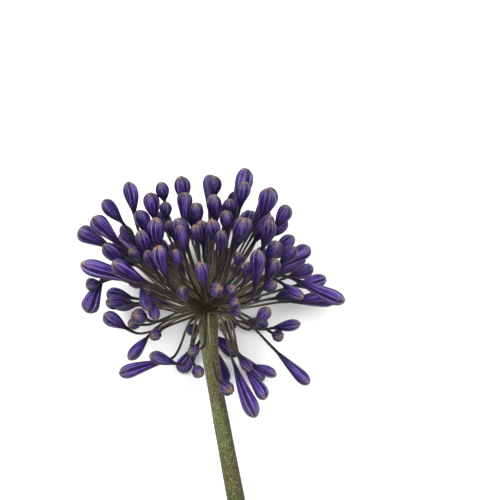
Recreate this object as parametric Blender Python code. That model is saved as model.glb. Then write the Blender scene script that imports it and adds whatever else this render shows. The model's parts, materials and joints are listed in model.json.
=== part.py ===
"""Agapanthus flower head: a cut scape lying on a table, with its round umbel of closed buds.

The flower is laid out in millimetres in its own directions: across, up the scape, and towards whoever looks
down on it, all counted from the hub where the pedicels meet. It is then set into the world in metres, with
+Z up, the table at z = 0, the cut end towards -Y and the middle of its outline over the origin.
"""
import math

import bmesh
import bpy
import numpy as np
from mathutils import Vector

MM = 0.001

# How it lies
SCAPE_SLOPE = math.radians(18.0)
SCAPE_LENGTH = 152.0
HUB_ACROSS = -1.85
HUB_ALONG = 34.95

# Scape, the thick stalk
SCAPE_TOP_RADIUS = 5.3
SCAPE_WAIST_RADIUS = 4.0
SCAPE_CUT_RADIUS = 4.6
SCAPE_FLARE_REACH = 20.0
SCAPE_SINK = 0.3
SCAPE_BEND = 0.095
SCAPE_BEND_START = 22.0
SCAPE_BEND_SOFTNESS = 15.0
SCAPE_RINGS = 13
SEAM = 0.3

# Receptacle, the knob that carries the pedicels: radius, neck, and the heights of its rings
KNOB_RADIUS = 6.3
KNOB_NECK = 6.9
KNOB_HEIGHTS = np.array([-KNOB_NECK, -4.6, -1.5, 2.2, 4.9, 6.1])

# Florets: a pedicel and its bud, followed as a chain of nodes from root to tip
FLORETS = 128
PEDICEL_RADIUS = 0.8
PEDICEL_NODES = 7
ROOT_DEPTH = 4.4
ROOT_STUB = 1.2
ROOT_SPACING = 0.285
BUD_FALL = [0.0, 60.0, 150.0]
ROOT_FALL = [0.0, 60.0, 108.0]
ROOT_ROUNDS = 400
ROOT_PUSH = 0.25
ROOT_HOLD = 0.01
OUT_OF_REACH = 9.0
ROOT_HANDLE = 0.30
BUD_HANDLE = [0.34, 0.30, 0.19]
BUD_HANDLE_TURN = [0.0, 50.0, 100.0]
BUD_ALONG = np.array([0.0, 0.28, 0.62, 0.88, 1.0])
BUD_GIRTH = np.array([0.30, 0.72, 1.0, 0.80, 0.30])
BUD_NECK_RADIUS = 1.1

# Bud stages: share of the florets up to this stage, shortest, longest, slimmest, widest
BUD_STAGES = [
    (0.22, 10.0, 12.0, 6.4, 7.4),
    (0.70, 14.0, 18.0, 7.4, 8.4),
    (0.93, 18.0, 22.0, 8.2, 9.2),
    (1.00, 25.0, 30.0, 8.8, 9.8),
]

# Round outline on which the tips of the facing florets end, and how far those at its rim stray
OUTLINE_ABOVE = 50.0
OUTLINE_BELOW = 45.0
OUTLINE_PARTED = -5.0
OUTLINE_PER_LENGTH = 0.8
LEAST_OVER_FLAT = 1.02
RIM_STRAY = (-12.0, 14.0)
RIM_LEAN = 0.3

# Where the other florets may point: how far towards the viewer at each angle from the head's axis, and how
# far they may hang from straight up
HEAD_LEAN = math.radians(8.4)
DIRECTIONS = 3000
FALL_STEPS = [0.0, 30.0, 50.0, 80.0, 100.0]
FOREMOST = [1.0, 0.8, -0.05, -0.1, -0.6]
LOWEST_HANG = math.radians(88.0)
LOWEST_HANG_BEHIND_SCAPE = math.radians(130.0)
BEHIND_SCAPE = (-0.2, 0.5)
FRONT_FROM = 0.1
FRONT_FAVOUR = 1.3
LOW_HANG = [90.0, 125.0]
LOW_FAVOUR = [1.0, 0.8]
LOWEST_ROOT = math.radians(112.0)
INNER_REACH = (38.0, 47.0)
OUTER_REACH = (44.0, 56.0)

# Making room: the gap between florets, which closes near the knob where pedicels press together
GAP = 0.45
GAP_STARTS = 7.0
GAP_GROWS_OVER = 6.0
PRESSED_WITHIN = 8.5
PRESSED_GIRTH = 1.45
NEAR_MARGIN = 2.0
PUSH_SHARE = 0.9
SCAPE_GAP = 0.5
BELOW_HUB = 5.0
TABLE_PRESS = 0.8
FACING_HOLD = np.array([0.10, 0.10, 0.02])
OTHER_HOLD = 0.012
BUD_JOIN = 0.25
ROOT_JOIN = 0.06
BEND_HOLD = 0.15
STRETCH_HOLD = 0.6
ROUNDS = 900
PAIRS_LAST = 15
SEED = 18

# The faceted solid: pedicel nodes are left out where it runs straight, and small buds have a plainer tip
STRAIGHT_WITHIN = 1.25
SMALL_BUD = 12.5
WELD_WITHIN = 0.00001

# Florets that face the viewer: tip across, tip up, bud base across, bud base up, bud length, bud width
FACING = [
    (-66.0, -2.2, -58.9, 15.4, 20, 9.6),
    (-67.1, 11.6, -60.0, 14.3, 12, 7.6),
    (-55.6, 3.3, -44.6, 3.3, 12, 8.4),
    (-57.2, -2.8, -45.1, -9.9, 14, 8.4),
    (-39.1, -2.2, -33.6, -5.0, 11, 8.6),
    (-42.9, -7.7, -36.9, -8.2, 9, 6.6),
    (-31.9, 0.0, -35.8, 11.6, 12, 6.4),
    (-27.5, -5.5, -30.8, 4.4, 11, 6.2),
    (-29.7, -14.9, -26.4, -12.1, 10, 6.6),
    (-42.9, -27.5, -33.0, -15.4, 17, 6.7),
    (-48.4, -35.8, -24.8, -28.6, 25, 7.6),
    (-31.4, -24.2, -17.6, -29.2, 15, 7),
    (-9.4, -23.1, -5.0, -21.5, 9, 6.2),
    (-3.9, -36.3, -6.6, -31.4, 9, 7),
    (13.2, -44.6, 8.2, -41.2, 11, 8.2),
    (26.5, -58.8, 15.2, -31.9, 30, 8.7),
    (32.0, -49.0, 20.9, -33.0, 20, 7.2),
    (23.1, -33.6, 17.6, -26.4, 10, 6.4),
    (38.0, -35.8, 24.2, -30.8, 15, 6.0),
    (55.6, -41.3, 38.5, -24.2, 25, 6.9),
    (50.6, -7.7, 35.8, -10.8, 16, 6.5),
    (40.2, -15.4, 35.8, -12.7, 9, 6.6),
    (33.5, 1.0, 27.1, -6.6, 12, 7.2),
    (18.2, -1.1, 12.1, -1.1, 8, 4.6),
    (16.0, 5.0, 11.6, 3.9, 9, 6.6),
    (7.7, 12.1, 4.4, 8.2, 12, 8.4),
    (13.8, 11.6, 10.5, 7.7, 11, 7),
    (-13.8, 12.1, -11.6, 5.5, 11, 6.6),
    (-3.9, 25.9, -1.1, 12.1, 17, 7.8),
    (-69.3, 24.8, -36.3, 15.4, 34, 9.2),
    (-51.7, 25.6, -33.0, 13.8, 24, 8.8),
    (-57.2, 35.8, -45.1, 24.8, 19, 8.7),
    (-71.5, 43.5, -55.0, 34.7, 21, 9.4),
    (-63.3, 50.1, -49.5, 36.3, 21, 9.6),
    (-47.9, 45.7, -40.7, 36.3, 13, 7),
    (-41.8, 33.0, -35.8, 27.5, 11, 7),
    (-36.9, 42.9, -33.0, 29.2, 17, 8.2),
    (-33.0, 31.9, -28.1, 21.5, 13, 7.2),
    (-26.4, 34.7, -22.0, 17.6, 20, 8.2),
    (-28.1, 50.1, -26.4, 34.1, 18, 9.4),
    (-15.4, 45.7, -12.7, 30.8, 17, 7.4),
    (-38.0, 54.5, -33.0, 41.2, 16, 8.6),
    (-31.9, 64.4, -29.2, 49.5, 18, 9),
    (-23.7, 59.4, -23.1, 50.1, 12, 6.8),
    (-13.2, 64.4, -12.7, 45.7, 20, 8.2),
    (-14.9, 73.2, -13.2, 58.3, 18, 9),
    (-44.6, 71.0, -40.7, 53.9, 19, 8.4),
    (-17.6, 33.0, -15.4, 23.1, 12, 6.6),
    (-6.6, 45.7, -5.5, 35.8, 13, 6.6),
    (-6.6, 58.3, -5.0, 46.8, 14, 7.4),
    (-26.4, 70.4, -24.2, 60.0, 14, 7.6),
    (-57.2, 60.0, -47.3, 47.9, 17, 8),
    (1.7, 48.4, 5.5, 36.9, 15, 8),
    (7.7, 42.9, 7.2, 30.3, 16, 7.2),
    (2.8, 62.7, 4.4, 47.9, 18, 8.4),
    (9.9, 53.9, 10.5, 42.9, 14, 7.4),
    (19.2, 50.1, 14.9, 36.3, 17, 8.4),
    (20.4, 69.9, 17.6, 56.7, 17, 8),
    (12.1, 60.5, 11.6, 53.4, 12, 7),
    (34.7, 49.0, 30.3, 34.1, 18, 8.6),
    (33.0, 66.6, 29.7, 50.1, 21, 9.8),
    (44.6, 56.7, 37.4, 45.7, 16, 8.4),
    (38.0, 36.9, 31.9, 25.9, 15, 8.4),
    (37.4, 27.5, 31.9, 14.9, 17, 8.2),
    (27.5, 33.6, 25.3, 13.2, 22, 8.4),
    (17.6, 31.4, 16.0, 23.7, 10, 6.2),
    (23.1, 25.3, 20.4, 17.6, 10, 6),
    (37.4, 14.3, 30.3, 11.6, 10, 6.6),
    (3.3, 73.2, 3.3, 62.2, 15, 7.6),
    (48.4, 34.1, 39.6, 24.8, 13, 7.6),
    (52.3, 6.6, 41.3, 13.8, 15, 6.5),
    (75.6, 4.0, 48.4, 16.0, 31, 7.9),
]

# Colours
SCAPE_COLOUR = (0.20, 0.22, 0.10, 1.0)
UMBEL_COLOUR = (0.10, 0.07, 0.30, 1.0)

NODES = PEDICEL_NODES + len(BUD_ALONG)
HUB_HEIGHT = (SCAPE_LENGTH * math.sin(SCAPE_SLOPE)
              + SCAPE_CUT_RADIUS * math.cos(SCAPE_SLOPE) - SCAPE_SINK)
HEAD_AXIS = np.array([-math.sin(HEAD_LEAN), math.cos(HEAD_LEAN), 0.0])
TABLE_NORMAL = np.array([0.0, math.sin(SCAPE_SLOPE), math.cos(SCAPE_SLOPE)])


def to_world(points):
    """Points given from the hub in the flower's own directions, in millimetres, as world metres."""
    across, up, towards = np.moveaxis(np.asarray(points, float), -1, 0)
    sine, cosine = math.sin(SCAPE_SLOPE), math.cos(SCAPE_SLOPE)
    world = (
        HUB_ACROSS + across,
        HUB_ALONG + up * cosine - towards * sine,
        HUB_HEIGHT + up * sine + towards * cosine,
    )
    return np.stack(world, axis=-1) * MM


def scape_offset(drop):
    """How far the scape's middle has wandered across at a distance below the hub."""
    past = np.asarray(drop, float) - SCAPE_BEND_START
    soft = np.sqrt(past ** 2 + SCAPE_BEND_SOFTNESS ** 2)
    start = math.hypot(SCAPE_BEND_START, SCAPE_BEND_SOFTNESS) - SCAPE_BEND_START
    return SCAPE_BEND * (past + soft - start)


def scape_radius(drop):
    """The scape is thickest under the knob, slims below it and thickens again slowly towards its base."""
    waist = SCAPE_WAIST_RADIUS + (SCAPE_CUT_RADIUS - SCAPE_WAIST_RADIUS) * drop / SCAPE_LENGTH
    flare = np.exp(-((drop - KNOB_NECK) / SCAPE_FLARE_REACH) ** 2)
    return waist + (SCAPE_TOP_RADIUS - SCAPE_WAIST_RADIUS) * flare


def unit(vectors):
    return vectors / np.maximum(np.linalg.norm(vectors, axis=-1, keepdims=True), 1e-9)


def facing_florets():
    """Bud base, tip, length and width of the florets that face the viewer; tips end on a round outline."""
    draw = np.random.default_rng(SEED)
    rows = []
    for tip_x, tip_y, base_x, base_y, length, width in FACING:
        flat = math.hypot(tip_x - base_x, tip_y - base_y)
        length = max(length, LEAST_OVER_FLAT * flat)
        outline = OUTLINE_ABOVE if tip_y > OUTLINE_PARTED else OUTLINE_BELOW
        outline += OUTLINE_PER_LENGTH * length
        spare = outline ** 2 - tip_x ** 2 - tip_y ** 2
        tip_z = max(math.sqrt(max(spare, 0.0)), draw.uniform(*RIM_STRAY))
        lean = 1.0 if tip_z > RIM_STRAY[1] else math.copysign(RIM_LEAN, tip_z)
        depth = lean * math.sqrt(length ** 2 - flat ** 2)
        length = math.hypot(flat, depth)
        rows.append(((base_x, base_y, tip_z - depth), (tip_x, tip_y, tip_z), length, width))
    return rows


def bud_size(draw):
    """Length and width of a bud at a random stage, from small and round to long and nearly open."""
    stage = draw.random()
    for share, shortest, longest, slimmest, widest in BUD_STAGES:
        if stage < share:
            return draw.uniform(shortest, longest), draw.uniform(slimmest, widest)


def other_florets(facing, count):
    """The florets behind and between: each takes the widest gap left, among directions spread evenly."""
    draw = np.random.default_rng(SEED)
    place = np.arange(DIRECTIONS) + 0.5
    height = 1.0 - 2.0 * place / DIRECTIONS
    turn = place * math.pi * (3.0 - math.sqrt(5.0))
    ring = np.sqrt(1.0 - height ** 2)
    ways = np.stack([ring * np.cos(turn), height, ring * np.sin(turn)], axis=1)
    fall = np.arccos(np.clip(ways @ HEAD_AXIS, -1.0, 1.0))
    hang = np.arccos(ways[:, 1])
    foremost = np.interp(np.degrees(fall), FALL_STEPS, FOREMOST)
    behind_scape = (ways[:, 0] > BEHIND_SCAPE[0]) & (ways[:, 0] < BEHIND_SCAPE[1])
    lowest = np.where(behind_scape, LOWEST_HANG_BEHIND_SCAPE, LOWEST_HANG)
    free = (hang < lowest) & (ways[:, 2] < foremost)
    ways, hang = ways[free], hang[free]
    room = np.full(len(ways), math.pi)
    for base, tip, _, _ in facing:
        middle = unit(np.add(base, tip))
        room = np.minimum(room, np.arccos(np.clip(ways @ middle, -1.0, 1.0)))
    in_front = ways[:, 2] > FRONT_FROM
    favour = np.where(in_front, FRONT_FAVOUR, np.interp(np.degrees(hang), LOW_HANG, LOW_FAVOUR))
    rows = []
    for _ in range(count):
        best = int(np.argmax(room * favour))
        way = ways[best]
        room = np.minimum(room, np.arccos(np.clip(ways @ way, -1.0, 1.0)))
        length, width = bud_size(draw)
        inner = in_front[best] or hang[best] > LOWEST_HANG
        reach = draw.uniform(*(INNER_REACH if inner else OUTER_REACH))
        rows.append((way * reach, way * (reach + length), length, width))
    return rows


def spread_roots(bases):
    """Directions in which the pedicels leave the knob, eased apart so that no two start in one spot."""
    way = unit(bases)
    fall = np.arccos(np.clip(way @ HEAD_AXIS, -1.0, 1.0))
    side = unit(way - (way @ HEAD_AXIS)[:, None] * HEAD_AXIS)
    turned = np.interp(fall, np.radians(BUD_FALL), np.radians(ROOT_FALL))
    wanted = np.cos(turned)[:, None] * HEAD_AXIS + np.sin(turned)[:, None] * side
    root = wanted.copy()
    lowest = math.cos(LOWEST_ROOT)
    for _ in range(ROOT_ROUNDS):
        apart = root[:, None] - root[None]
        far = np.linalg.norm(apart, axis=2) + OUT_OF_REACH * np.eye(len(root))
        push = np.maximum(0.0, ROOT_SPACING - far) / far
        root = unit(root + ROOT_PUSH * (apart * push[..., None]).sum(1) + ROOT_HOLD * (wanted - root))
        short = np.maximum(0.0, lowest - root @ HEAD_AXIS)
        root = unit(root + short[:, None] * HEAD_AXIS)
    return root


class Umbel:
    """Every floret as a chain of nodes: root, pedicel, then the straight axis of its bud."""

    def __init__(self):
        facing = facing_florets()
        rows = facing + other_florets(facing, FLORETS - len(facing))
        bases = np.array([row[0] for row in rows])
        tips = np.array([row[1] for row in rows])
        self.length = np.array([row[2] for row in rows])
        self.width = np.array([row[3] for row in rows])
        self.facing = len(facing)
        self.radius = np.full((len(rows), NODES), PEDICEL_RADIUS)
        self.radius[:, PEDICEL_NODES:] = self.width[:, None] / 2.0 * BUD_GIRTH
        self.radius[:, PEDICEL_NODES] = np.maximum(self.radius[:, PEDICEL_NODES], BUD_NECK_RADIUS)
        self.along = BUD_ALONG * self.length[:, None]
        self.nodes = self.first_curves(bases, tips)
        self.rest = np.linalg.norm(np.diff(self.nodes, axis=1), axis=2)
        self.placed = self.nodes.copy()
        self.curl = {place: self.placed[:, place] - self.between(place)
                     for place in range(2, PEDICEL_NODES)}
        links = NODES - 1
        self.owner = np.repeat(np.arange(len(rows)), links - 1)
        self.link = np.tile(np.arange(1, links), len(rows))

    def first_curves(self, bases, tips):
        """Smooth curves from the knob to each bud base, and the bud beyond it."""
        root = spread_roots(bases)
        reach = np.linalg.norm(bases, axis=1)[:, None]
        lean = unit(tips - bases)
        start = root * (KNOB_RADIUS + ROOT_STUB)
        turned = np.degrees(np.arccos(np.clip((unit(bases) * lean).sum(axis=1), -1.0, 1.0)))
        leave = start + ROOT_HANDLE * reach * root
        arrive = bases - np.interp(turned, BUD_HANDLE_TURN, BUD_HANDLE)[:, None] * reach * lean
        nodes = np.zeros((len(bases), NODES, 3))
        nodes[:, 0] = root * ROOT_DEPTH
        for place in range(1, PEDICEL_NODES):
            t = (place - 1) / (PEDICEL_NODES - 1)
            nodes[:, place] = ((1 - t) ** 3 * start + 3 * (1 - t) ** 2 * t * leave
                               + 3 * (1 - t) * t ** 2 * arrive + t ** 3 * bases)
        nodes[:, PEDICEL_NODES:] = bases[:, None] + lean[:, None] * self.along[..., None]
        return nodes

    def between(self, place):
        """Where each pedicel's node would lie if the pedicel ran straight past it."""
        before, after = self.rest[:, place - 1][:, None], self.rest[:, place][:, None]
        return (self.nodes[:, place - 1] * after + self.nodes[:, place + 1] * before) / (before + after)

    def near_links(self):
        """Pairs of links of different florets that could touch within the next few rounds."""
        first = self.nodes[self.owner, self.link]
        last = self.nodes[self.owner, self.link + 1]
        reach = np.linalg.norm(last - first, axis=1) / 2.0
        reach += np.maximum(self.radius[self.owner, self.link], self.radius[self.owner, self.link + 1])
        middle = (first + last) / 2.0
        far = np.linalg.norm(middle[:, None] - middle[None], axis=2)
        near = far < reach[:, None] + reach[None] + GAP + NEAR_MARGIN
        one, other = np.nonzero(np.triu(near, 1))
        apart = self.owner[one] != self.owner[other]
        return one[apart], other[apart]

    def push_apart(self, pairs):
        """Moves links that come closer than their girths and the gap allow; counts what still overlaps."""
        one, other = pairs
        own, at = self.owner[one], self.link[one]
        its, to = self.owner[other], self.link[other]
        start, end = self.nodes[own, at], self.nodes[own, at + 1]
        begin, finish = self.nodes[its, to], self.nodes[its, to + 1]
        s, t = nearest_fractions(start, end, begin, finish)
        here = start + (end - start) * s[:, None]
        there = begin + (finish - begin) * t[:, None]
        away = here - there
        far = np.linalg.norm(away, axis=1)
        out = np.minimum(np.linalg.norm(here, axis=1), np.linalg.norm(there, axis=1))
        girth = (self.radius[own, at] * (1 - s) + self.radius[own, at + 1] * s
                 + self.radius[its, to] * (1 - t) + self.radius[its, to + 1] * t)
        need = girth + GAP * np.clip((out - GAP_STARTS) / GAP_GROWS_OVER, 0.0, 1.0)
        need = np.where(out < PRESSED_WITHIN, np.minimum(need, PRESSED_GIRTH), need)
        lack = need - far
        hit = lack > 0.0
        shift = 0.5 * (lack / np.maximum(far, 1e-6))[:, None] * away
        push = np.zeros_like(self.nodes)
        weight = np.zeros(self.nodes.shape[:2])
        for who, where, part, sign in ((own, at, s, 1.0), (its, to, t, -1.0)):
            who, where, part = who[hit], where[hit], part[hit]
            move = sign * shift[hit] / ((1 - part) ** 2 + part ** 2)[:, None]
            np.add.at(push, (who, where), move * (1 - part)[:, None])
            np.add.at(push, (who, where + 1), move * part[:, None])
            np.add.at(weight, (who, where), 1 - part)
            np.add.at(weight, (who, where + 1), part)
        self.nodes += PUSH_SHARE * push / np.maximum(weight, 1.0)[..., None]
        return int(((lack > GAP) & (out > GAP_STARTS + GAP_GROWS_OVER)).sum())

    def clear_scape_and_table(self):
        """Bends what would cross the stalk round it, and keeps every floret on the table."""
        nodes = self.nodes
        drop = np.clip(-nodes[..., 1], 0.0, SCAPE_LENGTH)
        off = nodes.copy()
        off[..., 0] -= scape_offset(drop)
        off[..., 1] = 0.0
        away = np.linalg.norm(off, axis=-1)
        short = scape_radius(drop) + SCAPE_GAP + self.radius - away
        short[:, :2] = 0.0
        short = np.where(nodes[..., 1] < -BELOW_HUB, np.maximum(short, 0.0), 0.0)
        nodes += off * (short / np.maximum(away, 1e-6))[..., None]
        height = nodes @ TABLE_NORMAL + HUB_HEIGHT
        sunk = np.maximum(0.0, TABLE_PRESS * self.radius - height)
        nodes += sunk[..., None] * TABLE_NORMAL

    def pull_back(self):
        """Draws florets back to where they were placed: the facing ones as seen, the others loosely."""
        back = self.placed - self.nodes
        for end in (PEDICEL_NODES, NODES - 1):
            self.nodes[:self.facing, end] += FACING_HOLD * back[:self.facing, end]
        self.nodes[self.facing:] += OTHER_HOLD * back[self.facing:]

    def stiffen(self):
        """Keeps each bud straight, and each pedicel's bends and length as they were."""
        nodes, rest = self.nodes, self.rest
        bud = nodes[:, PEDICEL_NODES:]
        centre = bud.mean(axis=1)
        along = self.along - self.along.mean(axis=1)[:, None]
        lean = unit((along[..., None] * (bud - centre[:, None])).sum(axis=1))
        nodes[:, PEDICEL_NODES:] = centre[:, None] + lean[:, None] * along[..., None]
        last = PEDICEL_NODES - 1
        join = nodes[:, last + 1] - lean * rest[:, last][:, None]
        nodes[:, last] += BUD_JOIN * (join - nodes[:, last])
        for place, curl in self.curl.items():
            nodes[:, place] += BEND_HOLD * (self.between(place) + curl - nodes[:, place])
        leave = nodes[:, 1] + unit(nodes[:, 1] - nodes[:, 0]) * rest[:, 1][:, None]
        nodes[:, 2] += ROOT_JOIN * (leave - nodes[:, 2])
        for _ in range(2):
            for place in range(1, PEDICEL_NODES):
                link = nodes[:, place + 1] - nodes[:, place]
                long = np.linalg.norm(link, axis=1)
                mend = (STRETCH_HOLD * (long - rest[:, place]) / long)[:, None] * link
                if place > 1:
                    nodes[:, place] += 0.5 * mend
                    mend = 0.5 * mend
                if place == last:
                    nodes[:, PEDICEL_NODES:] -= mend[:, None]
                else:
                    nodes[:, place + 1] -= mend
        nodes[:, :2] = self.placed[:, :2]

    def settle(self):
        for turn in range(ROUNDS):
            if turn % PAIRS_LAST == 0:
                pairs = self.near_links()
            left = self.push_apart(pairs)
            self.clear_scape_and_table()
            self.pull_back()
            self.stiffen()
        print("florets", len(self.nodes), "overlaps left", left)
        return self


def nearest_fractions(start, end, begin, finish):
    """How far along each of two segments, as fractions, their nearest points lie."""
    one, other, between = end - start, finish - begin, start - begin
    a = np.einsum("ij,ij->i", one, one)
    e = np.maximum(np.einsum("ij,ij->i", other, other), 1e-9)
    f = np.einsum("ij,ij->i", other, between)
    c = np.einsum("ij,ij->i", one, between)
    b = np.einsum("ij,ij->i", one, other)
    s = np.clip((b * f - c * e) / np.maximum(a * e - b * b, 1e-9), 0.0, 1.0)
    t = (b * s + f) / e
    clipped = np.clip(t, 0.0, 1.0)
    s = np.where(t == clipped, s, np.clip((b * clipped - c) / np.maximum(a, 1e-9), 0.0, 1.0))
    return s, clipped


def needed_nodes(chain):
    """The nodes that a floret's solid needs: all of its bud, and its pedicel's where it bends."""
    bud = list(range(PEDICEL_NODES, NODES))
    if np.linalg.norm(chain[-1] - chain[PEDICEL_NODES]) < SMALL_BUD:
        bud.remove(NODES - 2)
    kept = [0, *bud]
    while True:
        worst, place = STRAIGHT_WITHIN, None
        for first, last in zip(kept, kept[1:]):
            for between in range(first + 1, last):
                way = unit(chain[last] - chain[first])
                past = chain[between] - chain[first]
                off = np.linalg.norm(past - way * (past @ way))
                if off > worst:
                    worst, place = off, between
        if place is None:
            return kept
        kept = sorted([*kept, place])


def new_collection(name):
    collection = bpy.data.collections.new(name)
    bpy.context.scene.collection.children.link(collection)
    return collection


def new_material(name, colour, roughness):
    material = bpy.data.materials.new(name)
    material.use_nodes = True
    shader = material.node_tree.nodes["Principled BSDF"]
    shader.inputs["Base Color"].default_value = colour
    shader.inputs["Roughness"].default_value = roughness
    shader.inputs["Metallic"].default_value = 0.0
    return material


def tube(name, points, radii, collection, bevel_resolution):
    """A closed tube through world points, with a radius in millimetres at each."""
    curve = bpy.data.curves.new(name, "CURVE")
    curve.dimensions = "3D"
    curve.bevel_depth = MM
    curve.bevel_resolution = bevel_resolution
    curve.use_fill_caps = True
    spline = curve.splines.new("POLY")
    spline.points.add(len(points) - 1)
    for knot, point, radius in zip(spline.points, points, radii):
        knot.co = (*point, 1.0)
        knot.radius = radius
    bent = bpy.data.objects.new(name + "_curve", curve)
    collection.objects.link(bent)
    bpy.context.view_layer.update()
    evaluated = bent.evaluated_get(bpy.context.evaluated_depsgraph_get())
    mesh = bpy.data.meshes.new_from_object(evaluated)
    weld(mesh)
    solid = bpy.data.objects.new(name, mesh)
    solid.matrix_world = bent.matrix_world
    collection.objects.link(solid)
    bpy.data.objects.remove(bent)
    return solid


def weld(mesh):
    """Joins a tube's caps to its sides and turns every face outwards."""
    shape = bmesh.new()
    shape.from_mesh(mesh)
    bmesh.ops.remove_doubles(shape, verts=shape.verts, dist=WELD_WITHIN)
    bmesh.ops.recalc_face_normals(shape, faces=shape.faces)
    shape.to_mesh(mesh)
    shape.free()


def flatten_underside(solid):
    """Cuts off what would sink into the table, which leaves the small flats that the flower rests on."""
    shape = bmesh.new()
    shape.from_mesh(solid.data)
    geometry = list(shape.verts) + list(shape.edges) + list(shape.faces)
    up = Vector((0, 0, 1))
    bmesh.ops.bisect_plane(shape, geom=geometry, plane_co=Vector(), plane_no=up, clear_inner=True)
    rims = [edge for edge in shape.edges if edge.is_boundary]
    bmesh.ops.holes_fill(shape, edges=rims, sides=0)
    bmesh.ops.recalc_face_normals(shape, faces=shape.faces)
    shape.to_mesh(solid.data)
    shape.free()


def finish(solid, material):
    solid.data.materials.clear()
    solid.data.materials.append(material)
    for face in solid.data.polygons:
        face.use_smooth = True


def make_scape(collection):
    """The stalk, from the seam under the knob to its square cut."""
    drop = np.linspace(KNOB_NECK + SEAM, SCAPE_LENGTH, SCAPE_RINGS)
    points = np.stack([scape_offset(drop), -drop, np.zeros_like(drop)], axis=1)
    scape = tube("scape", to_world(points), scape_radius(drop), collection, bevel_resolution=10)
    flatten_underside(scape)
    finish(scape, new_material("scape", SCAPE_COLOUR, 0.55))
    return scape


def make_knob(collection):
    """The receptacle: as thick as the scape at its neck, and round above."""
    height = KNOB_HEIGHTS
    radii = np.sqrt(np.maximum(KNOB_RADIUS ** 2 - height ** 2, 1.0))
    radii[:2] = SCAPE_TOP_RADIUS
    middle = np.stack([scape_offset(-height) * (height < 0.0), height, np.zeros_like(height)], axis=1)
    return tube("umbel", to_world(middle), radii, collection, bevel_resolution=4)


def make_umbel(collection):
    """Knob, pedicels and buds, fused: they grow from each other."""
    florets = Umbel().settle()
    umbel = make_knob(collection)
    grown = new_collection("florets")
    for number, (nodes, radii) in enumerate(zip(florets.nodes, florets.radius)):
        kept = needed_nodes(nodes)
        tube(f"floret_{number:03d}", to_world(nodes[kept]), radii[kept], grown, bevel_resolution=1)
    union = umbel.modifiers.new("florets", "BOOLEAN")
    union.operation = "UNION"
    union.operand_type = "COLLECTION"
    union.collection = grown
    union.solver = "MANIFOLD"
    bpy.context.view_layer.update()
    evaluated = umbel.evaluated_get(bpy.context.evaluated_depsgraph_get())
    fused = bpy.data.meshes.new_from_object(evaluated)
    umbel.modifiers.clear()
    umbel.data = fused
    for floret in list(grown.objects):
        bpy.data.objects.remove(floret)
    bpy.data.collections.remove(grown)
    flatten_underside(umbel)
    finish(umbel, new_material("umbel", UMBEL_COLOUR, 0.45))
    return umbel


def main():
    for leftover in list(bpy.data.objects):
        bpy.data.objects.remove(leftover)
    flower = new_collection("agapanthus_flower_head")
    make_scape(flower)
    make_umbel(flower)


main()
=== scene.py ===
# %% [markdown]
# # Agapanthus flower head
# A cut flower lies on a pale table. A bare stalk, the scape, carries a round umbel: about 130 thin pedicels
# fan out of one knob, and each ends in a closed violet bud. The lesson dresses a fixed model of that
# flower. It first works out where every floret lies, then grows the real surfaces there, and ends with
# light and camera.

import json
import math
from types import SimpleNamespace

import bmesh
import bpy
import numpy as np
from mathutils import Matrix

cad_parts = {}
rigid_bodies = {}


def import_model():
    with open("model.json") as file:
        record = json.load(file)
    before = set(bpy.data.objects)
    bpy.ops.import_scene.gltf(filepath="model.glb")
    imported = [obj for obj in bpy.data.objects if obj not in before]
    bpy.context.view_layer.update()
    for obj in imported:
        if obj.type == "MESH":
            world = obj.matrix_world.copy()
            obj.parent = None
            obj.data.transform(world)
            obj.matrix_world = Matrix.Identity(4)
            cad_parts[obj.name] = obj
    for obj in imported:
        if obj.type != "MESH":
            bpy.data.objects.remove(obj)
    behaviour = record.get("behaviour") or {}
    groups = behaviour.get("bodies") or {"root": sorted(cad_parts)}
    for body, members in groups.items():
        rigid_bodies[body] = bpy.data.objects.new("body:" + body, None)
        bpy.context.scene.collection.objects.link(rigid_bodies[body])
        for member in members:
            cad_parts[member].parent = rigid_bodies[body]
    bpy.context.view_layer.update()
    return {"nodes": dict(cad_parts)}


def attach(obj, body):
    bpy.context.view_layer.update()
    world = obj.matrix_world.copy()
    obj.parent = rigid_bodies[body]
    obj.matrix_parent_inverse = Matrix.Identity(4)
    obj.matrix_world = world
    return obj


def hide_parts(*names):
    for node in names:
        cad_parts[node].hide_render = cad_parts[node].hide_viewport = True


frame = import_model()
MM = 0.001
print("fixed nodes:", sorted(frame["nodes"]))

# %% [markdown]
# ## Directions of the flower
# The head is round and the scape leans: it lies on its cut end and on the lowest buds, so it slopes up by
# 18 degrees. Places are easier to think of in the flower's own directions, counted in millimetres from the
# hub where the pedicels meet: across, up the scape, and towards whoever looks down on it. One function
# turns them into the world's metres.

# %% How the flower lies
SCAPE_SLOPE = math.radians(18.0)
SCAPE_LENGTH = 152.0
SCAPE_CUT_RADIUS = 4.6

# The lowest edge of the cut would lie this far under the table's face, and is pressed flat there
SCAPE_SINK = 0.3

# Where the hub lies over the table, on which the cut end rests
HUB_ACROSS = -1.85
HUB_ALONG = 34.95
HUB_HEIGHT = (SCAPE_LENGTH * math.sin(SCAPE_SLOPE)
              + SCAPE_CUT_RADIUS * math.cos(SCAPE_SLOPE) - SCAPE_SINK)

# The head's own axis leans a little to the left of the scape's
HEAD_LEAN = math.radians(8.4)
HEAD_AXIS = np.array([-math.sin(HEAD_LEAN), math.cos(HEAD_LEAN), 0.0])
TABLE_NORMAL = np.array([0.0, math.sin(SCAPE_SLOPE), math.cos(SCAPE_SLOPE)])

# Next to nothing: it keeps a division by nought from failing, and the end of a range inside it
TINY = 1e-9


def to_world(points):
    """Points given from the hub in the flower's own directions, in millimetres, as world metres."""
    across, up, towards = np.moveaxis(np.asarray(points, float), -1, 0)
    sine, cosine = math.sin(SCAPE_SLOPE), math.cos(SCAPE_SLOPE)
    world = (
        HUB_ACROSS + across,
        HUB_ALONG + up * cosine - towards * sine,
        HUB_HEIGHT + up * sine + towards * cosine,
    )
    return np.stack(world, axis=-1) * MM


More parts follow.
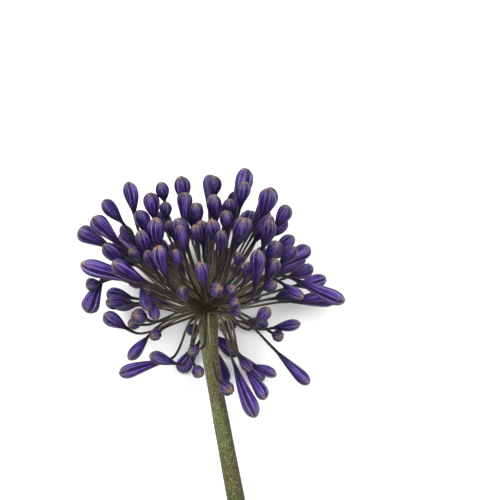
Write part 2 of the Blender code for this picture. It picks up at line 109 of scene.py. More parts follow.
def unit(vectors):
    return vectors / np.maximum(np.linalg.norm(vectors, axis=-1, keepdims=True), TINY)


def angle_of(cosines):
    """The angles, in radians, between unit directions whose cosines these are."""
    return np.arccos(np.clip(cosines, -1.0, 1.0))


HUB = to_world((0.0, 0.0, 0.0))
print("hub at, in metres:", HUB.round(4))

# %% [markdown]
# ## The scape's line
# A scape grows nearly straight. This one leaves the hub upright and then drifts a little to the right,
# along a soft bend. It is thickest under the knob that carries the florets. Two formulas give its drift and
# its girth at any distance below the hub, and both the stalk and the florets that hang beside it ask them,
# so they keep clear of each other.

# %% Drift and girth of the scape
KNOB_NECK = 6.9
SCAPE_TOP_RADIUS = 5.3
SCAPE_WAIST_RADIUS = 4.0
SCAPE_FLARE_REACH = 20.0
SCAPE_BEND = 0.095
SCAPE_BEND_START = 22.0
SCAPE_BEND_SOFTNESS = 15.0


def scape_offset(drop):
    """How far the scape's middle has wandered across at a distance below the hub."""
    past = np.asarray(drop, float) - SCAPE_BEND_START
    soft = np.sqrt(past ** 2 + SCAPE_BEND_SOFTNESS ** 2)
    start = math.hypot(SCAPE_BEND_START, SCAPE_BEND_SOFTNESS) - SCAPE_BEND_START
    return SCAPE_BEND * (past + soft - start)


def scape_radius(drop):
    """Thickest under the knob, soon slimmer below it, and slowly thicker again towards the base."""
    waist = SCAPE_WAIST_RADIUS + (SCAPE_CUT_RADIUS - SCAPE_WAIST_RADIUS) * drop / SCAPE_LENGTH
    flare = np.exp(-((drop - KNOB_NECK) / SCAPE_FLARE_REACH) ** 2)
    return waist + (SCAPE_TOP_RADIUS - SCAPE_WAIST_RADIUS) * flare


print("drift at the cut end in mm:", scape_offset(SCAPE_LENGTH).round(1))
print("thickness at half its length in mm:", round(2.0 * scape_radius(SCAPE_LENGTH / 2.0), 1))

# %% [markdown]
# ## Florets that face the viewer
# An umbel opens over days, so its buds are of every age, and the eye knows a flower by how they stand. The
# ones in front are therefore placed one by one: where the bud's tip and base show, how long it is and how
# wide. The depth follows from the head's roundness, because tips end on a round outline.

# %% Facing florets
# Where a bud's tip and then its base show, across and up from the hub; its length; its width
FACING = [
    (-66.0, -2.2, -58.9, 15.4, 20, 9.6),
    (-67.1, 11.6, -60.0, 14.3, 12, 7.6),
    (-55.6, 3.3, -44.6, 3.3, 12, 8.4),
    (-57.2, -2.8, -45.1, -9.9, 14, 8.4),
    (-39.1, -2.2, -33.6, -5.0, 11, 8.6),
    (-42.9, -7.7, -36.9, -8.2, 9, 6.6),
    (-31.9, 0.0, -35.8, 11.6, 12, 6.4),
    (-27.5, -5.5, -30.8, 4.4, 11, 6.2),
    (-29.7, -14.9, -26.4, -12.1, 10, 6.6),
    (-42.9, -27.5, -33.0, -15.4, 17, 6.7),
    (-48.4, -35.8, -24.8, -28.6, 25, 7.6),
    (-31.4, -24.2, -17.6, -29.2, 15, 7),
    (-9.4, -23.1, -5.0, -21.5, 9, 6.2),
    (-3.9, -36.3, -6.6, -31.4, 9, 7),
    (13.2, -44.6, 8.2, -41.2, 11, 8.2),
    (26.5, -58.8, 15.2, -31.9, 30, 8.7),
    (32.0, -49.0, 20.9, -33.0, 20, 7.2),
    (23.1, -33.6, 17.6, -26.4, 10, 6.4),
    (38.0, -35.8, 24.2, -30.8, 15, 6.0),
    (55.6, -41.3, 38.5, -24.2, 25, 6.9),
    (50.6, -7.7, 35.8, -10.8, 16, 6.5),
    (40.2, -15.4, 35.8, -12.7, 9, 6.6),
    (33.5, 1.0, 27.1, -6.6, 12, 7.2),
    (18.2, -1.1, 12.1, -1.1, 8, 4.6),
    (16.0, 5.0, 11.6, 3.9, 9, 6.6),
    (7.7, 12.1, 4.4, 8.2, 12, 8.4),
    (13.8, 11.6, 10.5, 7.7, 11, 7),
    (-13.8, 12.1, -11.6, 5.5, 11, 6.6),
    (-3.9, 25.9, -1.1, 12.1, 17, 7.8),
    (-69.3, 24.8, -36.3, 15.4, 34, 9.2),
    (-51.7, 25.6, -33.0, 13.8, 24, 8.8),
    (-57.2, 35.8, -45.1, 24.8, 19, 8.7),
    (-71.5, 43.5, -55.0, 34.7, 21, 9.4),
    (-63.3, 50.1, -49.5, 36.3, 21, 9.6),
    (-47.9, 45.7, -40.7, 36.3, 13, 7),
    (-41.8, 33.0, -35.8, 27.5, 11, 7),
    (-36.9, 42.9, -33.0, 29.2, 17, 8.2),
    (-33.0, 31.9, -28.1, 21.5, 13, 7.2),
    (-26.4, 34.7, -22.0, 17.6, 20, 8.2),
    (-28.1, 50.1, -26.4, 34.1, 18, 9.4),
    (-15.4, 45.7, -12.7, 30.8, 17, 7.4),
    (-38.0, 54.5, -33.0, 41.2, 16, 8.6),
    (-31.9, 64.4, -29.2, 49.5, 18, 9),
    (-23.7, 59.4, -23.1, 50.1, 12, 6.8),
    (-13.2, 64.4, -12.7, 45.7, 20, 8.2),
    (-14.9, 73.2, -13.2, 58.3, 18, 9),
    (-44.6, 71.0, -40.7, 53.9, 19, 8.4),
    (-17.6, 33.0, -15.4, 23.1, 12, 6.6),
    (-6.6, 45.7, -5.5, 35.8, 13, 6.6),
    (-6.6, 58.3, -5.0, 46.8, 14, 7.4),
    (-26.4, 70.4, -24.2, 60.0, 14, 7.6),
    (-57.2, 60.0, -47.3, 47.9, 17, 8),
    (1.7, 48.4, 5.5, 36.9, 15, 8),
    (7.7, 42.9, 7.2, 30.3, 16, 7.2),
    (2.8, 62.7, 4.4, 47.9, 18, 8.4),
    (9.9, 53.9, 10.5, 42.9, 14, 7.4),
    (19.2, 50.1, 14.9, 36.3, 17, 8.4),
    (20.4, 69.9, 17.6, 56.7, 17, 8),
    (12.1, 60.5, 11.6, 53.4, 12, 7),
    (34.7, 49.0, 30.3, 34.1, 18, 8.6),
    (33.0, 66.6, 29.7, 50.1, 21, 9.8),
    (44.6, 56.7, 37.4, 45.7, 16, 8.4),
    (38.0, 36.9, 31.9, 25.9, 15, 8.4),
    (37.4, 27.5, 31.9, 14.9, 17, 8.2),
    (27.5, 33.6, 25.3, 13.2, 22, 8.4),
    (17.6, 31.4, 16.0, 23.7, 10, 6.2),
    (23.1, 25.3, 20.4, 17.6, 10, 6),
    (37.4, 14.3, 30.3, 11.6, 10, 6.6),
    (3.3, 73.2, 3.3, 62.2, 15, 7.6),
    (48.4, 34.1, 39.6, 24.8, 13, 7.6),
    (52.3, 6.6, 41.3, 13.8, 15, 6.5),
    (75.6, 4.0, 48.4, 16.0, 31, 7.9),
]

# The outline's radius above and below the height where it is parted; longer buds reach further out
OUTLINE_ABOVE = 50.0
OUTLINE_BELOW = 45.0
OUTLINE_PARTED = -5.0
OUTLINE_PER_LENGTH = 0.8

# A bud is at least this many times as long as it looks
LEAST_OVER_FLAT = 1.02

# Tips on the rim lie at a drawn depth, and their buds lean only a little towards the viewer or away
RIM_STRAY = (-12.0, 14.0)
RIM_LEAN = 0.3
SEED = 18


def facing_florets():
    """Bud base, bud tip, length and width of the florets that face the viewer."""
    draw = np.random.default_rng(SEED)
    rows = []
    for tip_x, tip_y, base_x, base_y, length, width in FACING:
        flat = math.hypot(tip_x - base_x, tip_y - base_y)
        length = max(length, LEAST_OVER_FLAT * flat)
        outline = OUTLINE_ABOVE if tip_y > OUTLINE_PARTED else OUTLINE_BELOW
        outline += OUTLINE_PER_LENGTH * length
        spare = outline ** 2 - tip_x ** 2 - tip_y ** 2
        tip_z = max(math.sqrt(max(spare, 0.0)), draw.uniform(*RIM_STRAY))
        lean = 1.0 if tip_z > RIM_STRAY[1] else math.copysign(RIM_LEAN, tip_z)
        depth = lean * math.sqrt(length ** 2 - flat ** 2)
        length = math.hypot(flat, depth)
        rows.append(((base_x, base_y, tip_z - depth), (tip_x, tip_y, tip_z), length, width))
    return rows


print("facing florets:", len(facing_florets()))

# %% [markdown]
# ## Florets behind and between
# The rest of the umbel only has to be full and even. Thousands of directions are spread over a ball by the
# golden angle, and each new floret takes the widest gap that the ones before it left. That gives a natural,
# even spread without rows. A seeded draw gives each bud its length and width.

# %% Other florets
FLORETS = 128
DIRECTIONS = 3000

# The further a direction falls from the head's axis, in degrees, the less it may point to the viewer
FALL_STEPS = [0.0, 30.0, 50.0, 80.0, 100.0]
FOREMOST = [1.0, 0.8, -0.05, -0.1, -0.6]

# How far down from upright a floret may hang: further in the span across that lies behind the scape
LOWEST_HANG = math.radians(88.0)
LOWEST_HANG_BEHIND_SCAPE = math.radians(130.0)
BEHIND_SCAPE = (-0.2, 0.5)

# A gap in front counts for more than one behind, and a gap low down for less
FRONT_FROM = 0.1
FRONT_FAVOUR = 1.3
LOW_HANG = [90.0, 125.0]
LOW_FAVOUR = [1.0, 0.8]

# How far from the hub the buds start: those in front and low down closer in than the rest
INNER_REACH = (38.0, 47.0)
OUTER_REACH = (44.0, 56.0)

# Bud stages: share of the florets up to this stage, shortest, longest, slimmest, widest
BUD_STAGES = [
    (0.22, 10.0, 12.0, 6.4, 7.4),
    (0.70, 14.0, 18.0, 7.4, 8.4),
    (0.93, 18.0, 22.0, 8.2, 9.2),
    (1.00, 25.0, 30.0, 8.8, 9.8),
]


def bud_size(draw):
    """Length and width of a bud at a random stage, from small and round to long and nearly open."""
    stage = draw.random()
    for share, shortest, longest, slimmest, widest in BUD_STAGES:
        if stage < share:
            return draw.uniform(shortest, longest), draw.uniform(slimmest, widest)


def other_florets(facing, count):
    """The florets behind and between: each takes the widest gap left, among directions spread evenly."""
    draw = np.random.default_rng(SEED)
    place = np.arange(DIRECTIONS) + 0.5
    height = 1.0 - 2.0 * place / DIRECTIONS
    turn = place * math.pi * (3.0 - math.sqrt(5.0))
    ring = np.sqrt(1.0 - height ** 2)
    ways = np.stack([ring * np.cos(turn), height, ring * np.sin(turn)], axis=1)
    fall = angle_of(ways @ HEAD_AXIS)
    hang = np.arccos(ways[:, 1])
    foremost = np.interp(np.degrees(fall), FALL_STEPS, FOREMOST)
    behind_scape = (ways[:, 0] > BEHIND_SCAPE[0]) & (ways[:, 0] < BEHIND_SCAPE[1])
    lowest = np.where(behind_scape, LOWEST_HANG_BEHIND_SCAPE, LOWEST_HANG)
    free = (hang < lowest) & (ways[:, 2] < foremost)
    ways, hang = ways[free], hang[free]
    room = np.full(len(ways), math.pi)
    for base, tip, _, _ in facing:
        middle = unit(np.add(base, tip))
        room = np.minimum(room, angle_of(ways @ middle))
    in_front = ways[:, 2] > FRONT_FROM
    favour = np.where(in_front, FRONT_FAVOUR, np.interp(np.degrees(hang), LOW_HANG, LOW_FAVOUR))
    rows = []
    for _ in range(count):
        best = int(np.argmax(room * favour))
        way = ways[best]
        room = np.minimum(room, angle_of(ways @ way))
        length, width = bud_size(draw)
        inner = in_front[best] or hang[best] > LOWEST_HANG
        reach = draw.uniform(*(INNER_REACH if inner else OUTER_REACH))
        rows.append((way * reach, way * (reach + length), length, width))
    return rows


print("other florets:", len(other_florets(facing_florets(), FLORETS - len(FACING))))

# %% [markdown]
# ## Roots on the knob
# Every pedicel starts on the receptacle, a knob barely 13 mm across, and no two share a spot. The wanted
# directions are eased apart on the knob, as if the roots pushed each other aside.

# %% Root directions
KNOB_RADIUS = 6.3
ROOT_SPACING = 0.285

# For how far a bud falls from the head's axis, in degrees: how far its root does
BUD_FALL = [0.0, 60.0, 150.0]
ROOT_FALL = [0.0, 60.0, 108.0]
ROOT_ROUNDS = 400
ROOT_PUSH = 0.25
ROOT_HOLD = 0.01

# Added to a root's distance from itself, which keeps it from pushing itself
OUT_OF_REACH = 9.0
LOWEST_ROOT = math.radians(112.0)


def spread_roots(bases):
    """Directions in which the pedicels leave the knob, eased apart so that no two start in one spot."""
    way = unit(bases)
    fall = angle_of(way @ HEAD_AXIS)
    side = unit(way - (way @ HEAD_AXIS)[:, None] * HEAD_AXIS)
    turned = np.interp(fall, np.radians(BUD_FALL), np.radians(ROOT_FALL))
    wanted = np.cos(turned)[:, None] * HEAD_AXIS + np.sin(turned)[:, None] * side
    root = wanted.copy()
    lowest = math.cos(LOWEST_ROOT)
    for _ in range(ROOT_ROUNDS):
        apart = root[:, None] - root[None]
        far = np.linalg.norm(apart, axis=2) + OUT_OF_REACH * np.eye(len(root))
        push = np.maximum(0.0, ROOT_SPACING - far) / far
        root = unit(root + ROOT_PUSH * (apart * push[..., None]).sum(1) + ROOT_HOLD * (wanted - root))
        short = np.maximum(0.0, lowest - root @ HEAD_AXIS)
        root = unit(root + short[:, None] * HEAD_AXIS)
    return root


print("roots ease apart to about, in mm:", round(ROOT_SPACING * KNOB_RADIUS, 1))

# %% [markdown]
# ## Florets as chains
# A pedicel bends and its bud stays straight, so a floret is followed as a short chain of nodes: a root in
# the knob, nodes along the pedicel, and nodes along the bud's axis. The first curves are smooth ones that
# leave the knob squarely and meet each bud from behind. The chain also keeps how much the pedicel curls at
# each node.

# %% First curves
PEDICEL_RADIUS = 0.8
PEDICEL_NODES = 7
ROOT_DEPTH = 4.4
ROOT_STUB = 1.2

# How far the curve's handles reach, as shares of the way: the one at the bud is shorter the more it turns
ROOT_HANDLE = 0.30
BUD_HANDLE = [0.34, 0.30, 0.19]
BUD_HANDLE_TURN = [0.0, 50.0, 100.0]

# Where a bud's nodes lie along it, and its girth there as a share of its width
BUD_ALONG = np.array([0.0, 0.28, 0.62, 0.88, 1.0])
BUD_GIRTH = np.array([0.30, 0.72, 1.0, 0.80, 0.30])
BUD_NECK_RADIUS = 1.1
NODES = PEDICEL_NODES + len(BUD_ALONG)


def first_curves(bases, tips, along):
    """Smooth curves from the knob to each bud base, and the bud beyond it."""
    root = spread_roots(bases)
    reach = np.linalg.norm(bases, axis=1)[:, None]
    lean = unit(tips - bases)
    start = root * (KNOB_RADIUS + ROOT_STUB)
    turned = np.degrees(angle_of((unit(bases) * lean).sum(axis=1)))
    leave = start + ROOT_HANDLE * reach * root
    arrive = bases - np.interp(turned, BUD_HANDLE_TURN, BUD_HANDLE)[:, None] * reach * lean
    nodes = np.zeros((len(bases), NODES, 3))
    nodes[:, 0] = root * ROOT_DEPTH
    for place in range(1, PEDICEL_NODES):
        part = (place - 1) / (PEDICEL_NODES - 1)
        nodes[:, place] = ((1 - part) ** 3 * start + 3 * (1 - part) ** 2 * part * leave
                           + 3 * (1 - part) * part ** 2 * arrive + part ** 3 * bases)
    nodes[:, PEDICEL_NODES:] = bases[:, None] + lean[:, None] * along[..., None]
    return nodes


# %% The umbel as chains
def between(umbel, place):
    """Where each pedicel's node would lie if the pedicel ran straight past it."""
    before, after = umbel.rest[:, place - 1][:, None], umbel.rest[:, place][:, None]
    return (umbel.nodes[:, place - 1] * after + umbel.nodes[:, place + 1] * before) / (before + after)


def start_umbel():
    """Every floret as a chain of nodes: root, pedicel, then the straight axis of its bud."""
    facing = facing_florets()
    rows = facing + other_florets(facing, FLORETS - len(facing))
    umbel = SimpleNamespace(facing=len(facing))
    umbel.length = np.array([row[2] for row in rows])
    umbel.width = np.array([row[3] for row in rows])
    umbel.radius = np.full((len(rows), NODES), PEDICEL_RADIUS)
    umbel.radius[:, PEDICEL_NODES:] = umbel.width[:, None] / 2.0 * BUD_GIRTH
    umbel.radius[:, PEDICEL_NODES] = np.maximum(umbel.radius[:, PEDICEL_NODES], BUD_NECK_RADIUS)
    umbel.along = BUD_ALONG * umbel.length[:, None]
    bases = np.array([row[0] for row in rows])
    tips = np.array([row[1] for row in rows])
    umbel.nodes = first_curves(bases, tips, umbel.along)
    umbel.rest = np.linalg.norm(np.diff(umbel.nodes, axis=1), axis=2)
    umbel.placed = umbel.nodes.copy()
    umbel.curl = {place: umbel.placed[:, place] - between(umbel, place)
                  for place in range(2, PEDICEL_NODES)}
    umbel.owner = np.repeat(np.arange(len(rows)), NODES - 2)
    umbel.link = np.tile(np.arange(1, NODES - 1), len(rows))
    return umbel


umbel = start_umbel()
print("chains:", umbel.nodes.shape)

# %% [markdown]
# ## Making room
# Petals press and slide until nothing shares a place. The chains do the same: wherever two links come
# closer than their girths allow, both give way by half. Only near pairs are looked at, and the list of them
# is renewed now and then, which keeps it quick. Close to the knob the pedicels are let press together, as
# they do on the plant.

# %% Nearest points of two links
def dots(one, other):
    """The dot product of each row with the row beside it."""
    return np.einsum("ij,ij->i", one, other)


def nearest_fractions(start, end, begin, finish):
    """How far along each of two segments, as fractions, their nearest points lie."""
    one, other, across = end - start, finish - begin, start - begin
    one_long = dots(one, one)
    other_long = np.maximum(dots(other, other), TINY)
    one_across, other_across, both = dots(one, across), dots(other, across), dots(one, other)
    skew = np.maximum(one_long * other_long - both * both, TINY)
    part = np.clip((both * other_across - one_across * other_long) / skew, 0.0, 1.0)
    free = (both * part + other_across) / other_long
    its_part = np.clip(free, 0.0, 1.0)
    held = np.clip((both * its_part - one_across) / np.maximum(one_long, TINY), 0.0, 1.0)
    return np.where(free == its_part, part, held), its_part


CROSSED = [np.array([point], float) for point in ((0, 0, 0), (4, 0, 0), (1, -1, 2), (1, 3, 2))]
print("two crossed links are nearest at:", [part.tolist() for part in nearest_fractions(*CROSSED)])

# %% Links that could touch
GAP = 0.45
NEAR_MARGIN = 2.0


def near_links(umbel):
    """Pairs of links of different florets that could touch within the next few rounds."""
    first = umbel.nodes[umbel.owner, umbel.link]
    last = umbel.nodes[umbel.owner, umbel.link + 1]
    reach = np.linalg.norm(last - first, axis=1) / 2.0
    reach += np.maximum(umbel.radius[umbel.owner, umbel.link], umbel.radius[umbel.owner, umbel.link + 1])
    middle = (first + last) / 2.0
    far = np.linalg.norm(middle[:, None] - middle[None], axis=2)
    near = far < reach[:, None] + reach[None] + GAP + NEAR_MARGIN
    one, other = np.nonzero(np.triu(near, 1))
    apart = umbel.owner[one] != umbel.owner[other]
    return one[apart], other[apart]


print("pairs to watch at first:", len(near_links(umbel)[0]))

# %% Pushing apart
# The gap between florets starts this far from the hub, and is full this much further out
GAP_STARTS = 7.0
GAP_GROWS_OVER = 6.0

# So close to the hub, two pedicels may press together until their middles are this far apart
PRESSED_WITHIN = 8.5
PRESSED_GIRTH = 1.45
PUSH_SHARE = 0.9

# The least distance, in millimetres, that a push is measured against
LEAST_APART = 1e-6


def push_apart(umbel, pairs):
    """Moves links that come closer than their girths and the gap allow; counts what still overlaps."""
    one, other = pairs
    own, at = umbel.owner[one], umbel.link[one]
    its, to = umbel.owner[other], umbel.link[other]
    start, end = umbel.nodes[own, at], umbel.nodes[own, at + 1]
    begin, finish = umbel.nodes[its, to], umbel.nodes[its, to + 1]
    part, its_part = nearest_fractions(start, end, begin, finish)
    here = start + (end - start) * part[:, None]
    there = begin + (finish - begin) * its_part[:, None]
    away = here - there
    far = np.linalg.norm(away, axis=1)
    out = np.minimum(np.linalg.norm(here, axis=1), np.linalg.norm(there, axis=1))
    girth = (umbel.radius[own, at] * (1 - part) + umbel.radius[own, at + 1] * part
             + umbel.radius[its, to] * (1 - its_part) + umbel.radius[its, to + 1] * its_part)
    need = girth + GAP * np.clip((out - GAP_STARTS) / GAP_GROWS_OVER, 0.0, 1.0)
    need = np.where(out < PRESSED_WITHIN, np.minimum(need, PRESSED_GIRTH), need)
    lack = need - far
    hit = lack > 0.0
    shift = 0.5 * (lack / np.maximum(far, LEAST_APART))[:, None] * away
    push = np.zeros_like(umbel.nodes)
    weight = np.zeros(umbel.nodes.shape[:2])
    for who, where, share, sign in ((own, at, part, 1.0), (its, to, its_part, -1.0)):
        who, where, share = who[hit], where[hit], share[hit]
        move = sign * shift[hit] / ((1 - share) ** 2 + share ** 2)[:, None]
        for step, lever in enumerate((1 - share, share)):
            np.add.at(push, (who, where + step), move * lever[:, None])
            np.add.at(weight, (who, where + step), lever)
    umbel.nodes += PUSH_SHARE * push / np.maximum(weight, 1.0)[..., None]
    return int(((lack > GAP) & (out > GAP_STARTS + GAP_GROWS_OVER)).sum())


# %% [markdown]
# ## Scape, table and stiffness
# Florets that would cross the stalk bend round it, and none sinks into the table. A bud doesn't bend, so
# its nodes are laid back on one straight line. A pedicel is springy: it keeps its length and most of its
# curl. Facing florets are also drawn back to where they were seen, the others only loosely.

# %% Clear of the scape and the table
SCAPE_GAP = 0.5
BELOW_HUB = 5.0
TABLE_PRESS = 0.8


def clear_scape_and_table(umbel):
    """Bends what would cross the stalk round it, and lifts what would sink, buds pressed a little."""
    nodes = umbel.nodes
    drop = np.clip(-nodes[..., 1], 0.0, SCAPE_LENGTH)
    off = nodes.copy()
    off[..., 0] -= scape_offset(drop)
    off[..., 1] = 0.0
    away = np.linalg.norm(off, axis=-1)
    short = scape_radius(drop) + SCAPE_GAP + umbel.radius - away
    short[:, :2] = 0.0
    short = np.where(nodes[..., 1] < -BELOW_HUB, np.maximum(short, 0.0), 0.0)
    nodes += off * (short / np.maximum(away, LEAST_APART))[..., None]
    height = nodes @ TABLE_NORMAL + HUB_HEIGHT
    sunk = np.maximum(0.0, TABLE_PRESS * umbel.radius - height)
    nodes += sunk[..., None] * TABLE_NORMAL


print("nodes that start below the table:", int((umbel.nodes @ TABLE_NORMAL < -HUB_HEIGHT).sum()))

# %% Holding the shape
# How much of each fault one round mends; a facing floret's depth is held less than what the viewer sees
FACING_HOLD = np.array([0.10, 0.10, 0.02])
OTHER_HOLD = 0.012
BUD_JOIN = 0.25
ROOT_JOIN = 0.06
BEND_HOLD = 0.15
STRETCH_HOLD = 0.6
STRETCH_ROUNDS = 2


def pull_back(umbel):
    """Draws florets back to where they were placed: the facing ones as seen, the others loosely."""
    back = umbel.placed - umbel.nodes
    for end in (PEDICEL_NODES, NODES - 1):
        umbel.nodes[:umbel.facing, end] += FACING_HOLD * back[:umbel.facing, end]
    umbel.nodes[umbel.facing:] += OTHER_HOLD * back[umbel.facing:]


def stiffen(umbel):
    """Keeps each bud straight, and each pedicel's bends and length as they were."""
    nodes, rest = umbel.nodes, umbel.rest
    bud = nodes[:, PEDICEL_NODES:]
    centre = bud.mean(axis=1)
    along = umbel.along - umbel.along.mean(axis=1)[:, None]
    lean = unit((along[..., None] * (bud - centre[:, None])).sum(axis=1))
    nodes[:, PEDICEL_NODES:] = centre[:, None] + lean[:, None] * along[..., None]
    last = PEDICEL_NODES - 1
    join = nodes[:, last + 1] - lean * rest[:, last][:, None]
    nodes[:, last] += BUD_JOIN * (join - nodes[:, last])
    for place, curl in umbel.curl.items():
        nodes[:, place] += BEND_HOLD * (between(umbel, place) + curl - nodes[:, place])
    leave = nodes[:, 1] + unit(nodes[:, 1] - nodes[:, 0]) * rest[:, 1][:, None]
    nodes[:, 2] += ROOT_JOIN * (leave - nodes[:, 2])
    for _ in range(STRETCH_ROUNDS):
        for place in range(1, PEDICEL_NODES):
            link = nodes[:, place + 1] - nodes[:, place]
            long = np.linalg.norm(link, axis=1)
            mend = (STRETCH_HOLD * (long - rest[:, place]) / long)[:, None] * link
            if place > 1:
                nodes[:, place] += 0.5 * mend
                mend = 0.5 * mend
            if place == last:
                nodes[:, PEDICEL_NODES:] -= mend[:, None]
            else:
                nodes[:, place + 1] -= mend
    nodes[:, :2] = umbel.placed[:, :2]


# %% Letting the umbel settle
ROUNDS = 900

# The list of near pairs is renewed after this many rounds
PAIRS_LAST = 15


def settle(umbel):
    """Pushes apart and holds in turn, round after round; counts the links that overlap at the end."""
    for turn in range(ROUNDS):
        if turn % PAIRS_LAST == 0:
            pairs = near_links(umbel)
        left = push_apart(umbel, pairs)
        clear_scape_and_table(umbel)
        pull_back(umbel)
        stiffen(umbel)
    return left


overlaps = settle(umbel)
print("links that still overlap:", overlaps)
reach = np.linalg.norm(umbel.nodes[:, -1], axis=1)
print("bud tips lie", reach.min().round(1), "to", reach.max().round(1), "mm from the hub")

# %% [markdown]
# ## Writing node trees as sums
# Both the shapes and the finishes below are node trees. Even a sum as short as `0.3 + 0.5 * age` takes
# several node calls, which hide what it means. This small class wraps a socket, so that arithmetic on it
# adds the Math nodes, and one method makes any other node from its type, its settings and its inputs.

# %% Node trees in Python
class Link:
    """A node's output, which adds Math nodes when it is used in a sum."""

    def __init__(self, graph, socket):
        self.graph = graph
        self.socket = socket

    def maths(self, operation, *values):
        return self.graph.node("ShaderNodeMath", {"operation": operation}, dict(enumerate(values)))

    def __add__(self, other):
        return self.maths("ADD", self, other)

    def __sub__(self, other):
        return self.maths("SUBTRACT", self, other)

    def __rsub__(self, other):
        return self.maths("SUBTRACT", other, self)

    def __mul__(self, other):
        return self.maths("MULTIPLY", self, other)

    __radd__ = __add__
    __rmul__ = __mul__

    def at_least(self, other):
        return self.maths("MAXIMUM", self, other)

    def clipped(self):
        return self.graph.node("ShaderNodeClamp", {}, {"Value": self})

    def rise(self, low, high):
        """0 up to low, 1 from high on, and a soft slope between them; it falls where low is the greater."""
        settings = {"interpolation_type": "SMOOTHSTEP"}
        ends = {"Value": self, "From Min": low, "From Max": high}
        return self.graph.node("ShaderNodeMapRange", settings, ends)


class Graph:
    """A node tree that is being built."""

    def __init__(self, tree):
        self.tree = tree

    def node(self, kind, settings=None, inputs=None, output=0):
        """One output of a new node, made with its settings and then its inputs by name or place."""
        made = self.tree.nodes.new(kind)
        for name, value in (settings or {}).items():
            setattr(made, name, value)
        for name, value in (inputs or {}).items():
            socket = self.find(made.inputs, name)
            if isinstance(value, Link):
                self.tree.links.new(value.socket, socket)
            else:
                socket.default_value = value
        return Link(self, self.find(made.outputs, output))

    def find(self, sockets, name):
        shown = [socket for socket in sockets if socket.enabled]
        if isinstance(name, int):
            return shown[name]
        for socket in shown:
            if name in (socket.identifier, socket.name):
                return socket
        raise KeyError(f"no socket {name} among {[socket.name for socket in shown]}")

    def attribute(self, name, kind="FLOAT"):
        return self.node("GeometryNodeInputNamedAttribute", {"data_type": kind}, {"Name": name})

    def keep(self, geometry, name, value, kind="FLOAT", domain="POINT"):
        """Stores a field on the geometry under a name that later nodes and the finish can read."""
        settings = {"data_type": kind, "domain": domain}
        return self.node("GeometryNodeStoreNamedAttribute", settings,
                         {"Geometry": geometry, "Name": name, "Value": value})

    def split(self, vector):
        """The three parts of a vector."""
        first = self.node("ShaderNodeSeparateXYZ", {}, {"Vector": vector})
        return [Link(self, socket) for socket in first.socket.node.outputs]

    def join(self, x, y, z):
        return self.node("ShaderNodeCombineXYZ", {}, {"X": x, "Y": y, "Z": z})


# %% [markdown]
# ## One way to run a tree
# A tree is a group with named inputs. This helper makes the group, and `grown` runs it on a carrier object:
# it sets the inputs by their identifiers, takes the evaluated result as a plain mesh and throws the carrier
# away, so what is left is an ordinary object that any program can read.

# %% Making a geometry tree
# The kind of an input's socket, by the type of its default; a finish and a set of shapes have none
SOCKETS = {float: "NodeSocketFloat", int: "NodeSocketInt", "finish": "NodeSocketMaterial",
           "shapes": "NodeSocketCollection"}


def new_tree(name, sizes):
    """A geometry tree with a geometry going in and out, and named inputs with these defaults."""
    tree = bpy.data.node_groups.new(name, "GeometryNodeTree")
    tree.interface.new_socket("Geometry", in_out="INPUT", socket_type="NodeSocketGeometry")
    for label, default in sizes.items():
        kind = SOCKETS[default if isinstance(default, str) else type(default)]
        socket = tree.interface.new_socket(label, in_out="INPUT", socket_type=kind)
        if not isinstance(default, str):
            socket.default_value = default
    tree.interface.new_socket("Geometry", in_out="OUTPUT", socket_type="NodeSocketGeometry")
    graph = Graph(tree)
    entry = tree.nodes.new("NodeGroupInput")
    taken = {socket.name: Link(graph, socket) for socket in entry.outputs if socket.name}
    return graph, taken


def close_tree(graph, geometry, finish):
    """The end of every tree: instances made real, a finish, and the output."""
    real = graph.node("GeometryNodeRealizeInstances", {}, {"Geometry": geometry})
    dressed = graph.node("GeometryNodeSetMaterial", {}, {"Geometry": real, "Material": finish})
    end = graph.tree.nodes.new("NodeGroupOutput")
    graph.tree.links.new(dressed.socket, end.inputs[0])


# %% Running a geometry tree
def add_object(name, data):
    """A new object in the scene."""
    thing = bpy.data.objects.new(name, data)
    bpy.context.scene.collection.objects.link(thing)
    return thing


def grown(name, carrier, graph, values):
    """The plain mesh that a tree makes of a carrier mesh, as a new object at the origin."""
    holder = add_object(name + "_carrier", carrier)
    modifier = holder.modifiers.new("grow", "NODES")
    modifier.node_group = graph.tree
    for item in graph.tree.interface.items_tree:
        if item.in_out == "INPUT" and item.name in values:
            modifier[item.identifier] = values[item.name]
    bpy.context.view_layer.update()
    evaluated = holder.evaluated_get(bpy.context.evaluated_depsgraph_get())
    mesh = bpy.data.meshes.new_from_object(evaluated)
    mesh.name = name
    bpy.data.objects.remove(holder)
    bpy.data.meshes.remove(carrier)
    return add_object(name, mesh)


def triangles(piece):
    return sum(len(face.vertices) - 2 for face in piece.data.polygons)


# %% [markdown]
# ## Finishes
# A finish is a shader tree, so the same `Graph` builds it. It starts from Blender's own Principled shader.
# What varies over a surface goes only into its colour, its roughness and a bump; everything that is the
# same all over is set on the shader's own sockets. The colour is built as a painter would: a ground, and
# over it one thin layer after another. Each layer is a share, from 0 for none to 1 for full cover, and a
# colour. In a share, `rise(low, high)` says where the layer starts and where it is full, and a factor
# after it says how strongly it covers.

